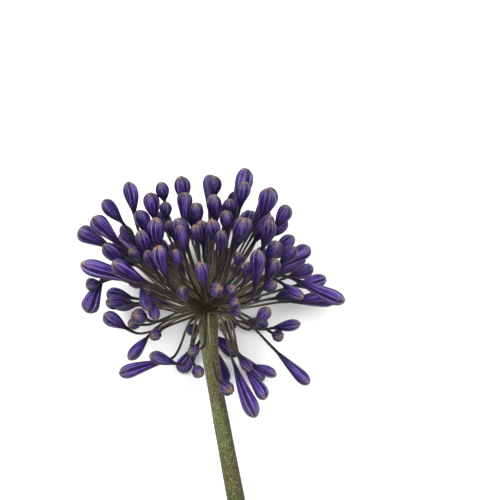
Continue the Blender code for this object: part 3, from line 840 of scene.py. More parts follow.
# %% Helpers for finishes
class Finish(Graph):
    """A material whose patterns are written as sums."""

    def __init__(self, name):
        self.material = bpy.data.materials.new(name)
        self.material.use_nodes = True
        super().__init__(self.material.node_tree)
        self.shader = self.tree.nodes["Principled BSDF"]

    def fact(self, name, output="Fac"):
        """A number or vector that the mesh keeps at each of its points."""
        return self.node("ShaderNodeAttribute", {"attribute_name": name}, output=output)

    def noise(self, place, scale, detail=2.0, roughness=0.5):
        sizes = {"Vector": place, "Scale": scale, "Detail": detail, "Roughness": roughness}
        return self.node("ShaderNodeTexNoise", {}, sizes)

    def patterns(self, along, own, table):
        """The noises of a table by name, read round the surface and along it, from a place of its own."""
        x, y, _ = self.split(self.fact("ring", "Vector"))
        return {name: self.noise(self.join(x, y, along * steepness + own), *sizes)
                for name, (steepness, *sizes) in table.items()}

    def mix(self, share, first, second):
        """The first colour, turning into the second as the share goes from 0 to 1."""
        colours = {"Factor_Float": share, "A_Color": first, "B_Color": second}
        return self.node("ShaderNodeMix", {"data_type": "RGBA"}, colours, "Result_Color")

    def layered(self, ground, layers):
        """A ground colour with layers over it, each as much as its share says."""
        for share, paint in layers:
            ground = self.mix(share, ground, paint)
        return ground

    def facing(self):
        """Which way the surface faces: across, along and up."""
        return self.split(self.node("ShaderNodeTexCoord", output="Normal"))

    def painted_flank_shade(self, low, high):
        """Painted shade: 0 on what faces the sky, growing to 1 on the flanks and undersides, which it darkens
        as if shaded.
        """
        return (1.0 - self.facing()[2]).rise(low, high)

    def dress(self, paint, roughness, height, depth, gloss):
        """Connects the patterns to the shader. Height is pressed in as a bump of a depth in metres."""
        bump = self.node("ShaderNodeBump", {}, {"Height": height, "Distance": depth, "Strength": 1.0})
        for name, link in {"Base Color": paint, "Roughness": roughness, "Normal": bump}.items():
            self.tree.links.new(link.socket, self.shader.inputs[name])
        self.shader.inputs["Specular IOR Level"].default_value = gloss
        return self.material


def colour(red, green, blue):
    return (red, green, blue, 1.0)


# %% [markdown]
# ## Tepals
# Agapanthus violet is never even. The foot of a bud is almost black, partly its own colour and partly painted
# shade deep in the cluster, and its body is deep blue-violet. Veins and paler margins run up it as lilac
# lines, and the keels carry a painted highlight; the margins are partly painted highlight too. The grooves
# between tepals get painted shade. At the tip the hooded points dry to tan and orange-brown. Small buds are
# still slate-coloured, with bronze shoulders; the violet clears as they grow. All of this follows the
# surface, so it is worked out from what the bud meshes keep: the way up, the turn, groove, keel and age.
# Flanks and undersides get painted shade, darker than what faces the sky. That is read from the way the
# surface faces, never from the camera, so it stays put in every view.

# %% The petal finish
# The first colour is the near-black of bud feet, and also painted shade on flanks and undersides
INK_AND_PAINTED_SHADE = colour(0.009, 0.003, 0.021)
DEEP_VIOLET = colour(0.011, 0.004, 0.050)
VIOLET = colour(0.045, 0.019, 0.192)
LILAC = colour(0.280, 0.195, 0.590)
SLATE = colour(0.030, 0.024, 0.056)
MAUVE = colour(0.150, 0.102, 0.205)
MOSS = colour(0.105, 0.088, 0.048)
UMBER = colour(0.030, 0.013, 0.014)
TAN = colour(0.330, 0.220, 0.135)
RUST = colour(0.350, 0.115, 0.042)
PETAL_GLOSS = 0.14
PETAL_RELIEF = 0.6 * MM

# How far apart in the noise two buds can be read, so that no two look alike
PETALS_APART = 40.0

# How fast each pattern changes up the bud, then its scale, detail and roughness
PETAL_PATTERNS = {
    "veins": (0.30, 6.0, 4.0, 0.62),
    "fine": (0.30, 17.0, 2.0, 0.5),
    "broad": (3.0, 0.7, 1.0, 0.5),
    "spots": (3.0, 4.0, 3.0, 0.6),
}


def petal_patterns(finish):
    """What a bud's mesh keeps at each point, and the noises that are read along its surface."""
    facts = {name: finish.fact(name) for name in ("along", "age", "chance", "groove", "keel")}
    own = facts["chance"] * PETALS_APART
    return SimpleNamespace(**facts, **finish.patterns(facts["along"], own, PETAL_PATTERNS))


def body_layers(bud):
    """Violet over the dark ground, then slate, pale veins with painted keel highlights, shoulders, painted
    groove shade, margins partly painted highlight, and a dark foot partly painted shade.
    """
    up, age, chance, veins, groove = bud.along, bud.age, bud.chance, bud.veins, bud.groove
    depth = (0.40 + 0.24 * age + 0.6 * (chance - 0.5) + 1.1 * (bud.broad - 0.5)).clipped()
    young = ((0.50 - age) * 1.6 + 0.5 * (chance - 0.5)).clipped() * 0.8
    # Pale veins are the bud's own colour; along the keels the lilac is a painted highlight
    pale_veins_and_keel_highlight = (veins.rise(0.53, 0.64) * 0.85 + bud.keel * (veins + 0.20)).clipped() * up.rise(0.12, 0.55)
    shoulder = (up + 0.30 * (veins - 0.5)).rise(0.66, 0.98) * (0.20 + 0.45 * chance)
    # Dark veins, and painted shade in the grooves between tepals
    dark_veins_and_groove_shade = (veins.rise(0.50, 0.36) * 0.85 + groove.rise(0.40, 0.85)).clipped() * up.rise(1.0, 0.80)
    # Paler margins beside the grooves, partly painted highlight, in uneven patches
    pale_margin_and_highlight = groove.rise(0.0, 0.12) * groove.rise(0.80, 0.40) * up.rise(0.10, 0.40)
    margin_patches = (0.55 + 2.2 * (bud.spots - 0.5) + 1.2 * (chance - 0.5)).clipped()
    # The dark foot: partly the bud's own colour, partly painted shade deep in the cluster
    above_foot = (up + 0.12 * (veins - 0.5) + 0.10 * (bud.broad - 0.5)).rise(0.0, 0.44)
    return [
        (depth, VIOLET),
        (young, SLATE),
        (pale_veins_and_keel_highlight * (0.24 + 0.42 * age), LILAC),
        (shoulder, MAUVE),
        (dark_veins_and_groove_shade, DEEP_VIOLET),
        (pale_margin_and_highlight * margin_patches * (0.20 + 0.55 * age), LILAC),
        (1.0 - above_foot, INK_AND_PAINTED_SHADE),
    ]


def tip_layers(bud):
    """The hooded points, moss on young buds, tan and rust on older ones, and the seams between them."""
    up, age, chance = bud.along, bud.age, bud.chance
    veins, spots, fine = bud.veins - 0.5, bud.spots - 0.5, bud.fine - 0.5
    green = (1.05 - age) * (up + 0.35 * veins + 0.25 * spots).rise(0.73, 0.99)
    dry = (up + 0.14 * spots + 0.03 * bud.keel).rise(0.930, 0.992)
    rust = (up + 0.05 * spots).rise(0.970, 0.999) * (chance + 0.5 * fine).rise(0.30, 0.90)
    seam = (bud.groove + 0.4 * fine).rise(0.30, 0.90) * up.rise(0.82, 0.92)
    return [
        (green.clipped() * 0.65, MOSS),
        (dry * (0.25 + 0.45 * chance + 0.2 * age), TAN),
        (rust * (0.25 + 0.60 * age), RUST),
        (seam * 0.85, UMBER),
    ]


def petal_finish():
    finish = Finish("petals")
    bud = petal_patterns(finish)
    # Painted shade darkens every bud's flanks and undersides
    layers = body_layers(bud) + tip_layers(bud) + [(finish.painted_flank_shade(0.10, 0.85) * 0.80, INK_AND_PAINTED_SHADE)]
    roughness = 0.33 + 0.20 * (bud.fine - 0.5) + 0.15 * bud.groove
    height = bud.veins * 0.6 + bud.fine * 0.4
    return finish.dress(finish.layered(DEEP_VIOLET, layers), roughness, height, PETAL_RELIEF, PETAL_GLOSS)


PETALS = petal_finish()
print("petal nodes:", len(PETALS.node_tree.nodes))

# %% [markdown]
# ## Pedicels and knob
# Pedicels are dull olive-brown where they leave the knob and darken to a blackish violet under their buds.
# They have fine lengthwise lines, and painted shade on their flanks and undersides leaves their backs
# lighter. The knob between them is the same tissue, and the stalk's green climbs over its neck.

# %% The pedicel finish
OLIVE = colour(0.270, 0.240, 0.140)
BARK = colour(0.032, 0.025, 0.016)
# The near-black of a pedicel under its bud, and also the painted shade on pedicel flanks
NEAR_BLACK_AND_SHADE = colour(0.013, 0.010, 0.008)
STRAW = colour(0.520, 0.480, 0.320)
NECK_GREEN = colour(0.108, 0.112, 0.042)
STEM_GLOSS = 0.15
PEDICEL_RELIEF = 0.3 * MM
PEDICEL_STEEPNESS = 3.0
PEDICELS_APART = 50.0
PATCH_WIDTH = 5.0


def pedicel_finish():
    finish = Finish("pedicels")
    along, chance = finish.fact("along"), finish.fact("chance")
    x, y, _ = finish.split(finish.fact("ring", "Vector"))
    own = along * PEDICEL_STEEPNESS + chance * PEDICELS_APART
    lines = finish.noise(finish.join(x, y, own), scale=4.0, detail=3.0, roughness=0.6)
    wide = finish.join(x * (1.0 / PATCH_WIDTH), y * (1.0 / PATCH_WIDTH), own)
    patches = finish.noise(wide, scale=1.8, detail=1.0)
    tone = (0.78 - 0.75 * along + 1.0 * (patches - 0.5) + 0.9 * (chance - 0.5)).clipped()
    upper = (along + 0.25 * (patches - 0.5)).rise(0.15, 0.80)
    layers = [
        (tone, OLIVE),
        (lines.rise(0.48, 0.36) * 0.80, BARK),
        (lines.rise(0.50, 0.65) * (0.45 - 0.40 * along + 0.6 * chance), STRAW),
        (upper * 0.85, NEAR_BLACK_AND_SHADE),
        (along.rise(0.80, 1.0), INK_AND_PAINTED_SHADE),
        # Painted shade on the pedicels' flanks and undersides
        (finish.painted_flank_shade(0.03, 0.55) * (0.45 + 0.47 * along.rise(0.02, 0.25)), NEAR_BLACK_AND_SHADE),
    ]
    roughness = 0.36 + 0.2 * (lines - 0.5)
    return finish.dress(finish.layered(BARK, layers), roughness, lines, PEDICEL_RELIEF, STEM_GLOSS)


def knob_finish():
    finish = Finish("receptacle")
    place = finish.node("ShaderNodeTexCoord", output="Object")
    mottle = finish.noise(place, scale=900.0, detail=3.0, roughness=0.6)
    neck = (finish.fact("along") + 0.3 * (mottle - 0.5)).rise(0.45, 0.10)
    layers = [
        (mottle.rise(0.35, 0.7), OLIVE),
        (neck, NECK_GREEN),
        (mottle.rise(0.48, 0.38) * 0.5, BARK),
    ]
    roughness = 0.55 + 0.2 * (mottle - 0.5)
    return finish.dress(finish.layered(BARK, layers), roughness, mottle, PEDICEL_RELIEF, STEM_GLOSS)


PEDICEL = pedicel_finish()
KNOB = knob_finish()
print("pedicel nodes:", len(PEDICEL.node_tree.nodes))

# %% [markdown]
# ## The stalk
# The scape is grey-green, with fine lines and short flecks, dark and pale, that run along it. Its left side
# has a greyer painted highlight, broken up by blotches. Its right side browns further down and ends in a dark
# edge of painted shade, and the green deepens towards the cut; flanks and undersides get painted shade too.
# The cut shows cream pith, dotted with the ends of the stalk's vessels, inside a darker rind.

# %% The stalk finish
STALK_GREEN = colour(0.116, 0.132, 0.041)
# The grey of the painted highlight on the stalk's left side
STALK_HIGHLIGHT_GREY = colour(0.168, 0.186, 0.092)
STALK_DEEP = colour(0.043, 0.057, 0.014)
STALK_BROWN = colour(0.058, 0.047, 0.021)
# The dark of the specks, and also the painted shade on the stalk's flanks and right edge
DARK_SPECK_AND_SHADE = colour(0.022, 0.019, 0.006)
SPECK_LIGHT = colour(0.255, 0.260, 0.120)
PITH = colour(0.430, 0.450, 0.265)
VESSEL = colour(0.180, 0.190, 0.085)
STALK_RELIEF = 0.4 * MM

# How fast each pattern changes along the stalk, then its scale, detail and roughness
STALK_PATTERNS = {
    "lines": (2.0, 9.0, 3.0, 0.6),
    "flecks": (15.0, 7.0, 2.0, 0.70),
    "blotch": (5.0, 1.3, 3.0, 0.65),
}


def stalk_patterns(finish):
    """What the stalk's mesh keeps at each point, and the noises that are read on its surface."""
    along, pith, right = finish.fact("along"), finish.fact("pith"), finish.facing()[0]
    place = finish.node("ShaderNodeTexCoord", output="Object")
    stipple = finish.noise(place, scale=2200.0, roughness=0.70)
    cells = finish.node("ShaderNodeTexVoronoi", {}, {"Vector": place, "Scale": 620.0}, "Distance")
    return SimpleNamespace(along=along, pith=pith, right=right, stipple=stipple, cells=cells,
                           **finish.patterns(along, 0.0, STALK_PATTERNS))


def rind_layers(finish, stalk):
    """The green rind: a painted highlight on the left, deeper green, a brown side, lines, flecks, and painted
    shade on the flanks and the right edge.
    """
    along, right, lines, flecks = stalk.along, stalk.right, stalk.lines, stalk.flecks
    # Painted highlight: the left side is lighter and greyer, broken up by random blotches
    painted_left_highlight = (0.30 - 0.50 * right + 1.0 * (stalk.blotch - 0.5)).clipped()
    brown = (1.3 * right + 0.9 * (along - 0.35) + 1.2 * (stalk.blotch - 0.5)).rise(0.20, 0.70)
    return [
        (painted_left_highlight, STALK_HIGHLIGHT_GREY),
        (along.rise(0.20, 0.60) * 0.80, STALK_DEEP),
        (brown * 0.85, STALK_BROWN),
        (lines.rise(0.50, 0.36) * 0.50, STALK_BROWN),
        (lines.rise(0.56, 0.70) * 0.40, SPECK_LIGHT),
        (flecks.rise(0.48, 0.37) * 0.65, DARK_SPECK_AND_SHADE),
        (flecks.rise(0.54, 0.64) * 0.65, SPECK_LIGHT),
        (stalk.stipple.rise(0.50, 0.38) * 0.45, DARK_SPECK_AND_SHADE),
        (along.rise(0.10, 0.0) * 0.6, STALK_BROWN),
        # Painted shade on the stalk's flanks and undersides
        (finish.painted_flank_shade(0.25, 1.1) * 0.50, DARK_SPECK_AND_SHADE),
        # Painted shade: a dark edge on the right side, lower down
        (right.rise(0.40, 1.00) * along.rise(0.15, 0.60) * 0.60, DARK_SPECK_AND_SHADE),
    ]


def stalk_finish():
    finish = Finish("scape")
    stalk = stalk_patterns(finish)
    rind = finish.layered(STALK_GREEN, rind_layers(finish, stalk))
    flesh = finish.mix(stalk.cells.rise(0.42, 0.16) * 0.8, PITH, VESSEL)
    body = finish.mix(stalk.pith.rise(0.35, 0.8), rind, flesh)
    roughness = 0.52 + 0.25 * (stalk.stipple - 0.5)
    height = stalk.lines * 0.7 + stalk.stipple * 0.3
    return finish.dress(body, roughness, height, STALK_RELIEF, STEM_GLOSS)


STALK = stalk_finish()
print("stalk nodes:", len(STALK.node_tree.nodes))

# %% [markdown]
# ## Carriers
# A tree needs something to start from. Pedicels start from bare edges through their nodes, and buds from
# one loose point each. What the tree has to know about them, such as a girth or an age, rides along as
# attributes.

# %% Carrier meshes
def keep_fact(mesh, label, values):
    """Keeps a number, or a vector, for each point of a mesh under a name."""
    values = np.asarray(values, np.float32)
    kind, part = ("FLOAT_VECTOR", "vector") if values.ndim == 2 else ("FLOAT", "value")
    mesh.attributes.new(label, kind, "POINT").data.foreach_set(part, values.ravel())


def carrier_mesh(name, points, edges, facts):
    """Loose points and edges in world metres, with an attribute for each fact."""
    mesh = bpy.data.meshes.new(name)
    mesh.from_pydata([tuple(point) for point in points], edges, [])
    for label, values in facts.items():
        keep_fact(mesh, label, values)
    return mesh


def chain_edges(count, length):
    """Edges that join each chain of points, of count chains laid one after another."""
    return [(chain * length + at, chain * length + at + 1)
            for chain in range(count) for at in range(length - 1)]


print("edges of two chains of three points:", chain_edges(2, 3))

# %% [markdown]
# ## A tree that follows a path
# Pedicels and scape are all the same kind of thing: a round, faintly ribbed rod along a smooth line. Curve
# to Mesh makes it. The line is smoothed to pass through every node, the girth follows its own attribute,
# and the ring that is swept along it gets uneven ribs from a noise that is read on the ring. Every point
# keeps how far along it is and where on the ring, for the finish to use. What would sink into the table is
# pressed flat against it.

# %% The sweep tree
def on_the_table(graph, geometry):
    """Presses every point that lies under the table's face up to it."""
    x, y, z = graph.split(graph.node("GeometryNodeInputPosition"))
    pressed = graph.join(x, y, z.at_least(0.0))
    return graph.node("GeometryNodeSetPosition", {}, {"Geometry": geometry, "Position": pressed})


def sweep_tree():
    sizes = {"Sides": 12, "Rings": 24, "Ribs": 3.0, "Rib depth": 0.06, "Finish": "finish"}
    graph, size = new_tree("sweep", sizes)
    line = graph.node("GeometryNodeMeshToCurve", {}, {"Mesh": size["Geometry"]})
    line = graph.node("GeometryNodeCurveSplineType", {"spline_type": "CATMULL_ROM"}, {"Curve": line})
    line = graph.node("GeometryNodeResampleCurve", {}, {"Curve": line, "Count": size["Rings"]})
    line = graph.keep(line, "along", graph.node("GeometryNodeSplineParameter", output="Factor"))
    ring = graph.node("GeometryNodeCurvePrimitiveCircle", {}, {"Resolution": size["Sides"], "Radius": 1.0})
    place = graph.node("GeometryNodeInputPosition")
    ring = graph.keep(ring, "ring", place, "FLOAT_VECTOR")
    uneven = graph.node("ShaderNodeTexNoise", {}, {"Vector": place, "Scale": size["Ribs"], "Detail": 2.0})
    swell = 1.0 + size["Rib depth"] * (uneven - 0.5)
    ribbed = graph.node("ShaderNodeVectorMath", {"operation": "SCALE"}, {"Vector": place, "Scale": swell})
    ring = graph.node("GeometryNodeSetPosition", {}, {"Geometry": ring, "Position": ribbed})
    girth = graph.attribute("girth")
    rod = graph.node("GeometryNodeCurveToMesh", {},
                     {"Curve": line, "Profile Curve": ring, "Scale": girth, "Fill Caps": True})
    rod = on_the_table(graph, rod)
    rod = graph.node("GeometryNodeSetShadeSmooth", {}, {"Geometry": rod})
    close_tree(graph, rod, size["Finish"])
    return graph


SWEEP = sweep_tree()
print("sweep tree nodes:", len(SWEEP.tree.nodes))

# %% [markdown]
# ## Pedicels
# A pedicel is thinner than a match, about 1.4 mm at half its length. It swells a little where it leaves the
# knob, and again just under its bud, where it turns into the flower's base. Its chain already holds the
# line, so only the girth is set here, and a seeded draw lets some pedicels be stouter than others.

# %% Growing the pedicels
PEDICEL_SIDES = 10
PEDICEL_RINGS = 26

# Girth at each node, from the root to the one inside the bud, as a share of the pedicel's radius
PEDICEL_GIRTH = np.array([1.00, 1.10, 0.92, 0.88, 0.88, 0.90, 0.98, 1.0, 1.0])
PEDICEL_RIBS = 2.2
PEDICEL_RIB_DEPTH = 0.22
STOUT = (0.90, 1.08)

# The last node lies this share of the way from the bud's foot to its next node; the girth follows the foot
INTO_BUD = 0.07
BUD_FOOT = 0.27
FOOT_FIT = 0.98
SLIMMEST_FOOT = 0.62


def pedicel_paths(umbel):
    """Nodes, girths and a chance number of the pedicels, each of which runs a little way into its bud."""
    foot, beyond = umbel.nodes[:, PEDICEL_NODES], umbel.nodes[:, PEDICEL_NODES + 1]
    inside = foot * (1.0 - INTO_BUD) + beyond * INTO_BUD
    nodes = np.concatenate([umbel.nodes[:, :PEDICEL_NODES + 1], inside[:, None]], axis=1)
    draw = np.random.default_rng(SEED)
    stout = draw.uniform(*STOUT, len(nodes))
    girth = PEDICEL_RADIUS * PEDICEL_GIRTH * stout[:, None]
    foot_radius = BUD_FOOT * umbel.width / 2.0
    girth[:, -2:] = np.maximum(foot_radius * FOOT_FIT, SLIMMEST_FOOT)[:, None]
    chance = np.repeat(draw.random(len(nodes))[:, None], nodes.shape[1], axis=1)
    return nodes, girth, chance


def make_pedicels(umbel):
    nodes, girth, chance = pedicel_paths(umbel)
    count, length = girth.shape
    facts = {"girth": girth.ravel() * MM, "chance": chance.ravel()}
    path = to_world(nodes.reshape(-1, 3))
    carrier = carrier_mesh("pedicel_paths", path, chain_edges(count, length), facts)
    values = {"Sides": PEDICEL_SIDES, "Rings": PEDICEL_RINGS, "Ribs": PEDICEL_RIBS,
              "Rib depth": PEDICEL_RIB_DEPTH, "Finish": PEDICEL}
    return grown("pedicels", carrier, SWEEP, values)


pedicels = make_pedicels(umbel)
print("pedicel triangles:", triangles(pedicels))

# %% [markdown]
# ## The form of a bud
# A closed agapanthus bud is a club of six petals, called tepals. Three outer ones wrap three inner ones, so
# the inner ones show only as narrow strips in the grooves between. Each outer tepal has a keel down its
# middle and ends in a thick hooded point; the three points stand round a small dimple at the very tip. Two
# outlines are enough to say this: one down the back of an outer tepal and one down a groove. Everything
# between is a blend of the two.

# %% Outlines of the bud stages
# Each point is a radius and a height, as shares of half the bud's width and of its length. Ripe buds swell
# a little past their width. The strip is how far a groove reaches on each side of its middle, in degrees.
RIPE = {
    "back": [(0.27, 0.0), (0.33, 0.05), (0.44, 0.14), (0.59, 0.27), (0.75, 0.41), (0.89, 0.54),
             (1.00, 0.655), (1.06, 0.76), (0.99, 0.85), (0.81, 0.92), (0.56, 0.965), (0.33, 0.992),
             (0.17, 1.0), (0.06, 0.985)],
    "groove": [(0.26, 0.0), (0.31, 0.05), (0.405, 0.14), (0.535, 0.27), (0.67, 0.41), (0.785, 0.54),
               (0.875, 0.655), (0.91, 0.76), (0.835, 0.85), (0.655, 0.915), (0.43, 0.95), (0.23, 0.965),
               (0.10, 0.969), (0.04, 0.97)],
    "strip": 13.0,
}
HALF_GROWN = {
    "back": [(0.27, 0.0), (0.32, 0.05), (0.46, 0.14), (0.65, 0.27), (0.83, 0.40), (0.955, 0.52),
             (1.00, 0.62), (0.98, 0.73), (0.88, 0.825), (0.70, 0.90), (0.49, 0.952), (0.30, 0.986),
             (0.17, 1.0), (0.07, 0.985)],
    "groove": [(0.26, 0.0), (0.30, 0.05), (0.42, 0.14), (0.595, 0.27), (0.755, 0.40), (0.865, 0.52),
               (0.895, 0.62), (0.87, 0.73), (0.77, 0.82), (0.58, 0.89), (0.37, 0.93), (0.22, 0.953),
               (0.11, 0.96), (0.04, 0.96)],
    "strip": 9.0,
}
YOUNG = {
    "back": [(0.28, 0.0), (0.36, 0.05), (0.54, 0.14), (0.74, 0.26), (0.90, 0.39), (0.98, 0.50),
             (1.00, 0.59), (0.96, 0.69), (0.85, 0.79), (0.67, 0.88), (0.46, 0.945), (0.29, 0.985),
             (0.17, 1.0), (0.07, 0.98)],
    "groove": [(0.27, 0.0), (0.34, 0.05), (0.51, 0.14), (0.69, 0.26), (0.83, 0.39), (0.90, 0.50),
               (0.91, 0.59), (0.87, 0.69), (0.75, 0.785), (0.57, 0.865), (0.36, 0.92), (0.21, 0.945),
               (0.11, 0.95), (0.04, 0.95)],
    "strip": 6.0,
}
BUD_RINGS = 27
print("outline points:", [len(form["back"]) for form in (RIPE, HALF_GROWN, YOUNG)])

# %% [markdown]
# ## Wrapping the tepals round
# The rings of the bud have more corners near the edges of the tepals, where the surface steps down, and
# fewer along their flat backs, so the folds look crisp at little cost. A mask says how much of each corner
# is groove. The keel is a low ridge along each back, with a faint hollow on both sides of it.

# %% Soft outlines
def smooth_line(points, count):
    """Points along a soft curve through the given ones, evenly spaced in the curve's own measure."""
    points = np.array([points[0], *points, points[-1]], float)
    at = np.linspace(0, len(points) - 3 - TINY, count)
    first = at.astype(int)
    part = (at - first)[:, None]
    before, start, end, after = (points[first + step] for step in range(4))
    return 0.5 * (2 * start + (end - before) * part
                  + (2 * before - 5 * start + 4 * end - after) * part ** 2
                  + (3 * start - before - 3 * end + after) * part ** 3)


print("a ripe back, every fourth ring:", smooth_line(RIPE["back"], BUD_RINGS)[::4].round(2).tolist())

# %% Masks round a bud
OUTER_TEPALS = 3
THIRD_TURN = 120.0

# The corners in one third of a ring, in degrees from the middle of an outer tepal to the next one's
CORNERS = np.array([0, 4, 9, 16, 25, 34, 41, 46, 50, 54, 60, 66, 70, 74, 79, 86, 95, 104, 111, 116], float)
GROOVE_EDGE = 8.0
KEEL_WIDTH = 5.5
HOLLOW_AT = 17.0
HOLLOW_WIDTH = 9.0


def ridge(away, width):
    """1 on a line, and falling off softly on both sides of it."""
    return np.exp(-(away / width) ** 2)


def bud_masks(strip):
    """For every corner of a ring: its turn, and how much of it is groove, keel, hollow and inner keel."""
    turns = (CORNERS[None] + THIRD_TURN * np.arange(OUTER_TEPALS)[:, None]).ravel()
    within = (turns + THIRD_TURN / 2.0) % THIRD_TURN - THIRD_TURN / 2.0
    from_groove = THIRD_TURN / 2.0 - np.abs(within)
    groove = np.clip((strip + GROOVE_EDGE - from_groove) / GROOVE_EDGE, 0.0, 1.0)
    groove = groove * groove * (3.0 - 2.0 * groove)
    hollow = ridge(np.abs(within) - HOLLOW_AT, HOLLOW_WIDTH)
    return np.radians(turns), groove, ridge(within, KEEL_WIDTH), hollow, ridge(from_groove, KEEL_WIDTH)


print("corners of a ring that lie in a groove:", int((bud_masks(RIPE["strip"])[1] > 0.5).sum()))

# %% A closed mesh from rings
def ring_mesh(name, rings, foot, tip, masks):
    """A closed mesh through rings of corners, with a pole at each end; masks are kept for every corner."""
    count, around = rings.shape[:2]
    points = [*rings.reshape(-1, 3).tolist(), list(foot), list(tip)]
    foot_at, tip_at = count * around, count * around + 1
    last = (count - 1) * around
    faces = []
    for side in range(around):
        following = (side + 1) % around
        faces.append((foot_at, following, side))
        faces.append((tip_at, last + side, last + following))
        for ring in range(count - 1):
            low, high = ring * around, (ring + 1) * around
            faces.append((low + side, low + following, high + following, high + side))
    mesh = bpy.data.meshes.new(name)
    mesh.from_pydata(points, [], faces)
    for label, mask in masks.items():
        poles = np.zeros((2, *mask.shape[1:]))
        keep_fact(mesh, label, np.concatenate([mask] * count + [poles]))
    return mesh


# %% One bud as a mesh
KEEL_HEIGHT = 0.055
INNER_KEEL_SHARE = 0.6
HOLLOW_DEPTH = 0.035

# How strongly the keels and hollows show, by how far up the bud
FOLDS_UP = [0.0, 0.25, 0.6, 1.0]
FOLDS_DEEP = [0.3, 0.8, 1.0, 1.0]

# The greater this power, the closer to the tip the beak starts to lean
BEAK_BEND = 5

# How far the foot's pole lies under the first ring, and the tip's pole under the grooves of the last
FOOT_BELOW = 0.01
DIMPLE = 0.004


def bud_mesh(name, form, bow, beak):
    """A closed bud a unit long and a unit in radius, along +Z; bow bends its middle, beak leans its tip."""
    back = smooth_line(form["back"], BUD_RINGS)
    dip = smooth_line(form["groove"], BUD_RINGS)
    turns, groove, keel, hollow, inner_keel = bud_masks(form["strip"])
    outline = back[:, None] * (1.0 - groove)[:, None] + dip[:, None] * groove[:, None]
    folds = KEEL_HEIGHT * (keel + INNER_KEEL_SHARE * inner_keel) - HOLLOW_DEPTH * hollow
    relief = 1.0 + np.interp(back[:, 1], FOLDS_UP, FOLDS_DEEP)[:, None] * folds
    radius = outline[..., 0] * relief
    rise = outline[..., 1]
    sway = bow * np.sin(np.pi * rise) + beak * np.clip(rise, 0.0, 1.0) ** BEAK_BEND
    circle = np.stack([np.cos(turns), np.sin(turns), np.zeros_like(turns)], axis=1)
    rings = np.stack([radius * circle[:, 0] + sway, radius * circle[:, 1], rise], axis=-1)
    foot = (0.0, 0.0, -FOOT_BELOW)
    tip = (sway[-1].mean(), 0.0, dip[-1, 1] - DIMPLE)
    mesh = ring_mesh(name, rings, foot, tip, {"groove": groove, "keel": keel + inner_keel, "ring": circle})
    keep_fact(mesh, "along", [corner.co.z for corner in mesh.vertices])
    return mesh


# %% Three characters of a stage
# How far the middle bows and the tip leans, as shares of the radius
CHARACTERS = [(0.03, 0.0), (0.16, 0.10), (-0.08, 0.16)]


def bud_shapes(name, form):
    """A collection with the bud of one stage in three characters."""
    shapes = bpy.data.collections.new(name + "_shapes")
    for number, (bow, beak) in enumerate(CHARACTERS):
        mesh = bud_mesh(f"{name}_shape_{number}", form, bow, beak)
        shapes.objects.link(bpy.data.objects.new(mesh.name, mesh))
    return shapes


print("characters of each stage:", len(CHARACTERS))

# %% [markdown]
# ## A tree that sets buds on their pedicels
# Each loose point is where a bud starts, and knows which way the bud leans, its length, its width and its
# age. The tree picks one of the characters at random, turns it to lean along the pedicel, spins it about
# its own axis by a random angle and stretches it to size. The draws have fixed seeds. Another draw gives
# each bud a number of its own, from which the finish later works out small differences in colour.

# %% The bud tree
def bud_tree():
    graph, size = new_tree("set_buds", {"Bud shapes": "shapes", "Seed": 3, "Finish": "finish"})
    shapes = graph.node("GeometryNodeCollectionInfo", {},
                        {"Collection": size["Bud shapes"], "Separate Children": True, "Reset Children": True})
    lean = graph.attribute("lean", "FLOAT_VECTOR")
    upright = graph.node("FunctionNodeAlignRotationToVector", {"axis": "Z"}, {"Vector": lean})
    turn = graph.node("FunctionNodeRandomValue", {}, {"Max": math.tau, "Seed": size["Seed"]})
    spin = graph.node("FunctionNodeAxisAngleToRotation", {}, {"Angle": turn})
    aimed = graph.node("FunctionNodeRotateRotation", {"rotation_space": "LOCAL"},
                       {"Rotation": upright, "Rotate By": spin})
    girth = graph.attribute("girth")
    stretch = graph.join(girth, girth, graph.attribute("length"))
    pick = graph.node("FunctionNodeRandomValue", {"data_type": "INT"},
                      {"Min": 0, "Max": len(CHARACTERS) - 1, "Seed": size["Seed"] + 1.0})
    buds = graph.node("GeometryNodeInstanceOnPoints", {},
                      {"Points": size["Geometry"], "Instance": shapes, "Pick Instance": True,
                       "Instance Index": pick, "Rotation": aimed, "Scale": stretch})
    own = graph.node("FunctionNodeRandomValue", {}, {"Seed": size["Seed"] + 2.0})
    buds = graph.keep(buds, "chance", own, domain="INSTANCE")
    buds = graph.node("GeometryNodeRealizeInstances", {}, {"Geometry": buds})
    buds = on_the_table(graph, buds)
    buds = graph.node("GeometryNodeSetShadeSmooth", {}, {"Geometry": buds})
    close_tree(graph, buds, size["Finish"])
    return graph


SET_BUDS = bud_tree()
print("bud tree nodes:", len(SET_BUDS.tree.nodes))

# %% [markdown]
# ## Growing the buds, stage by stage
# Small round buds, half-grown clubs and long ripe ones differ in form, so each stage is a piece of its own
# with its own three shapes. Age runs from 0 for the shortest buds, 8 mm long, to 1 for those of 26 mm and
# more, and drives the colour.

# %% Three pieces of buds
# Each stage's outlines, and the bud lengths in millimetres that it runs from and to
STAGES = {
    "young_buds": (YOUNG, 0.0, 12.6),
    "half_grown_buds": (HALF_GROWN, 12.6, 18.3),
    "ripe_buds": (RIPE, 18.3, 99.0),
}
AGE_FROM = 8.0
AGE_TO = 26.0


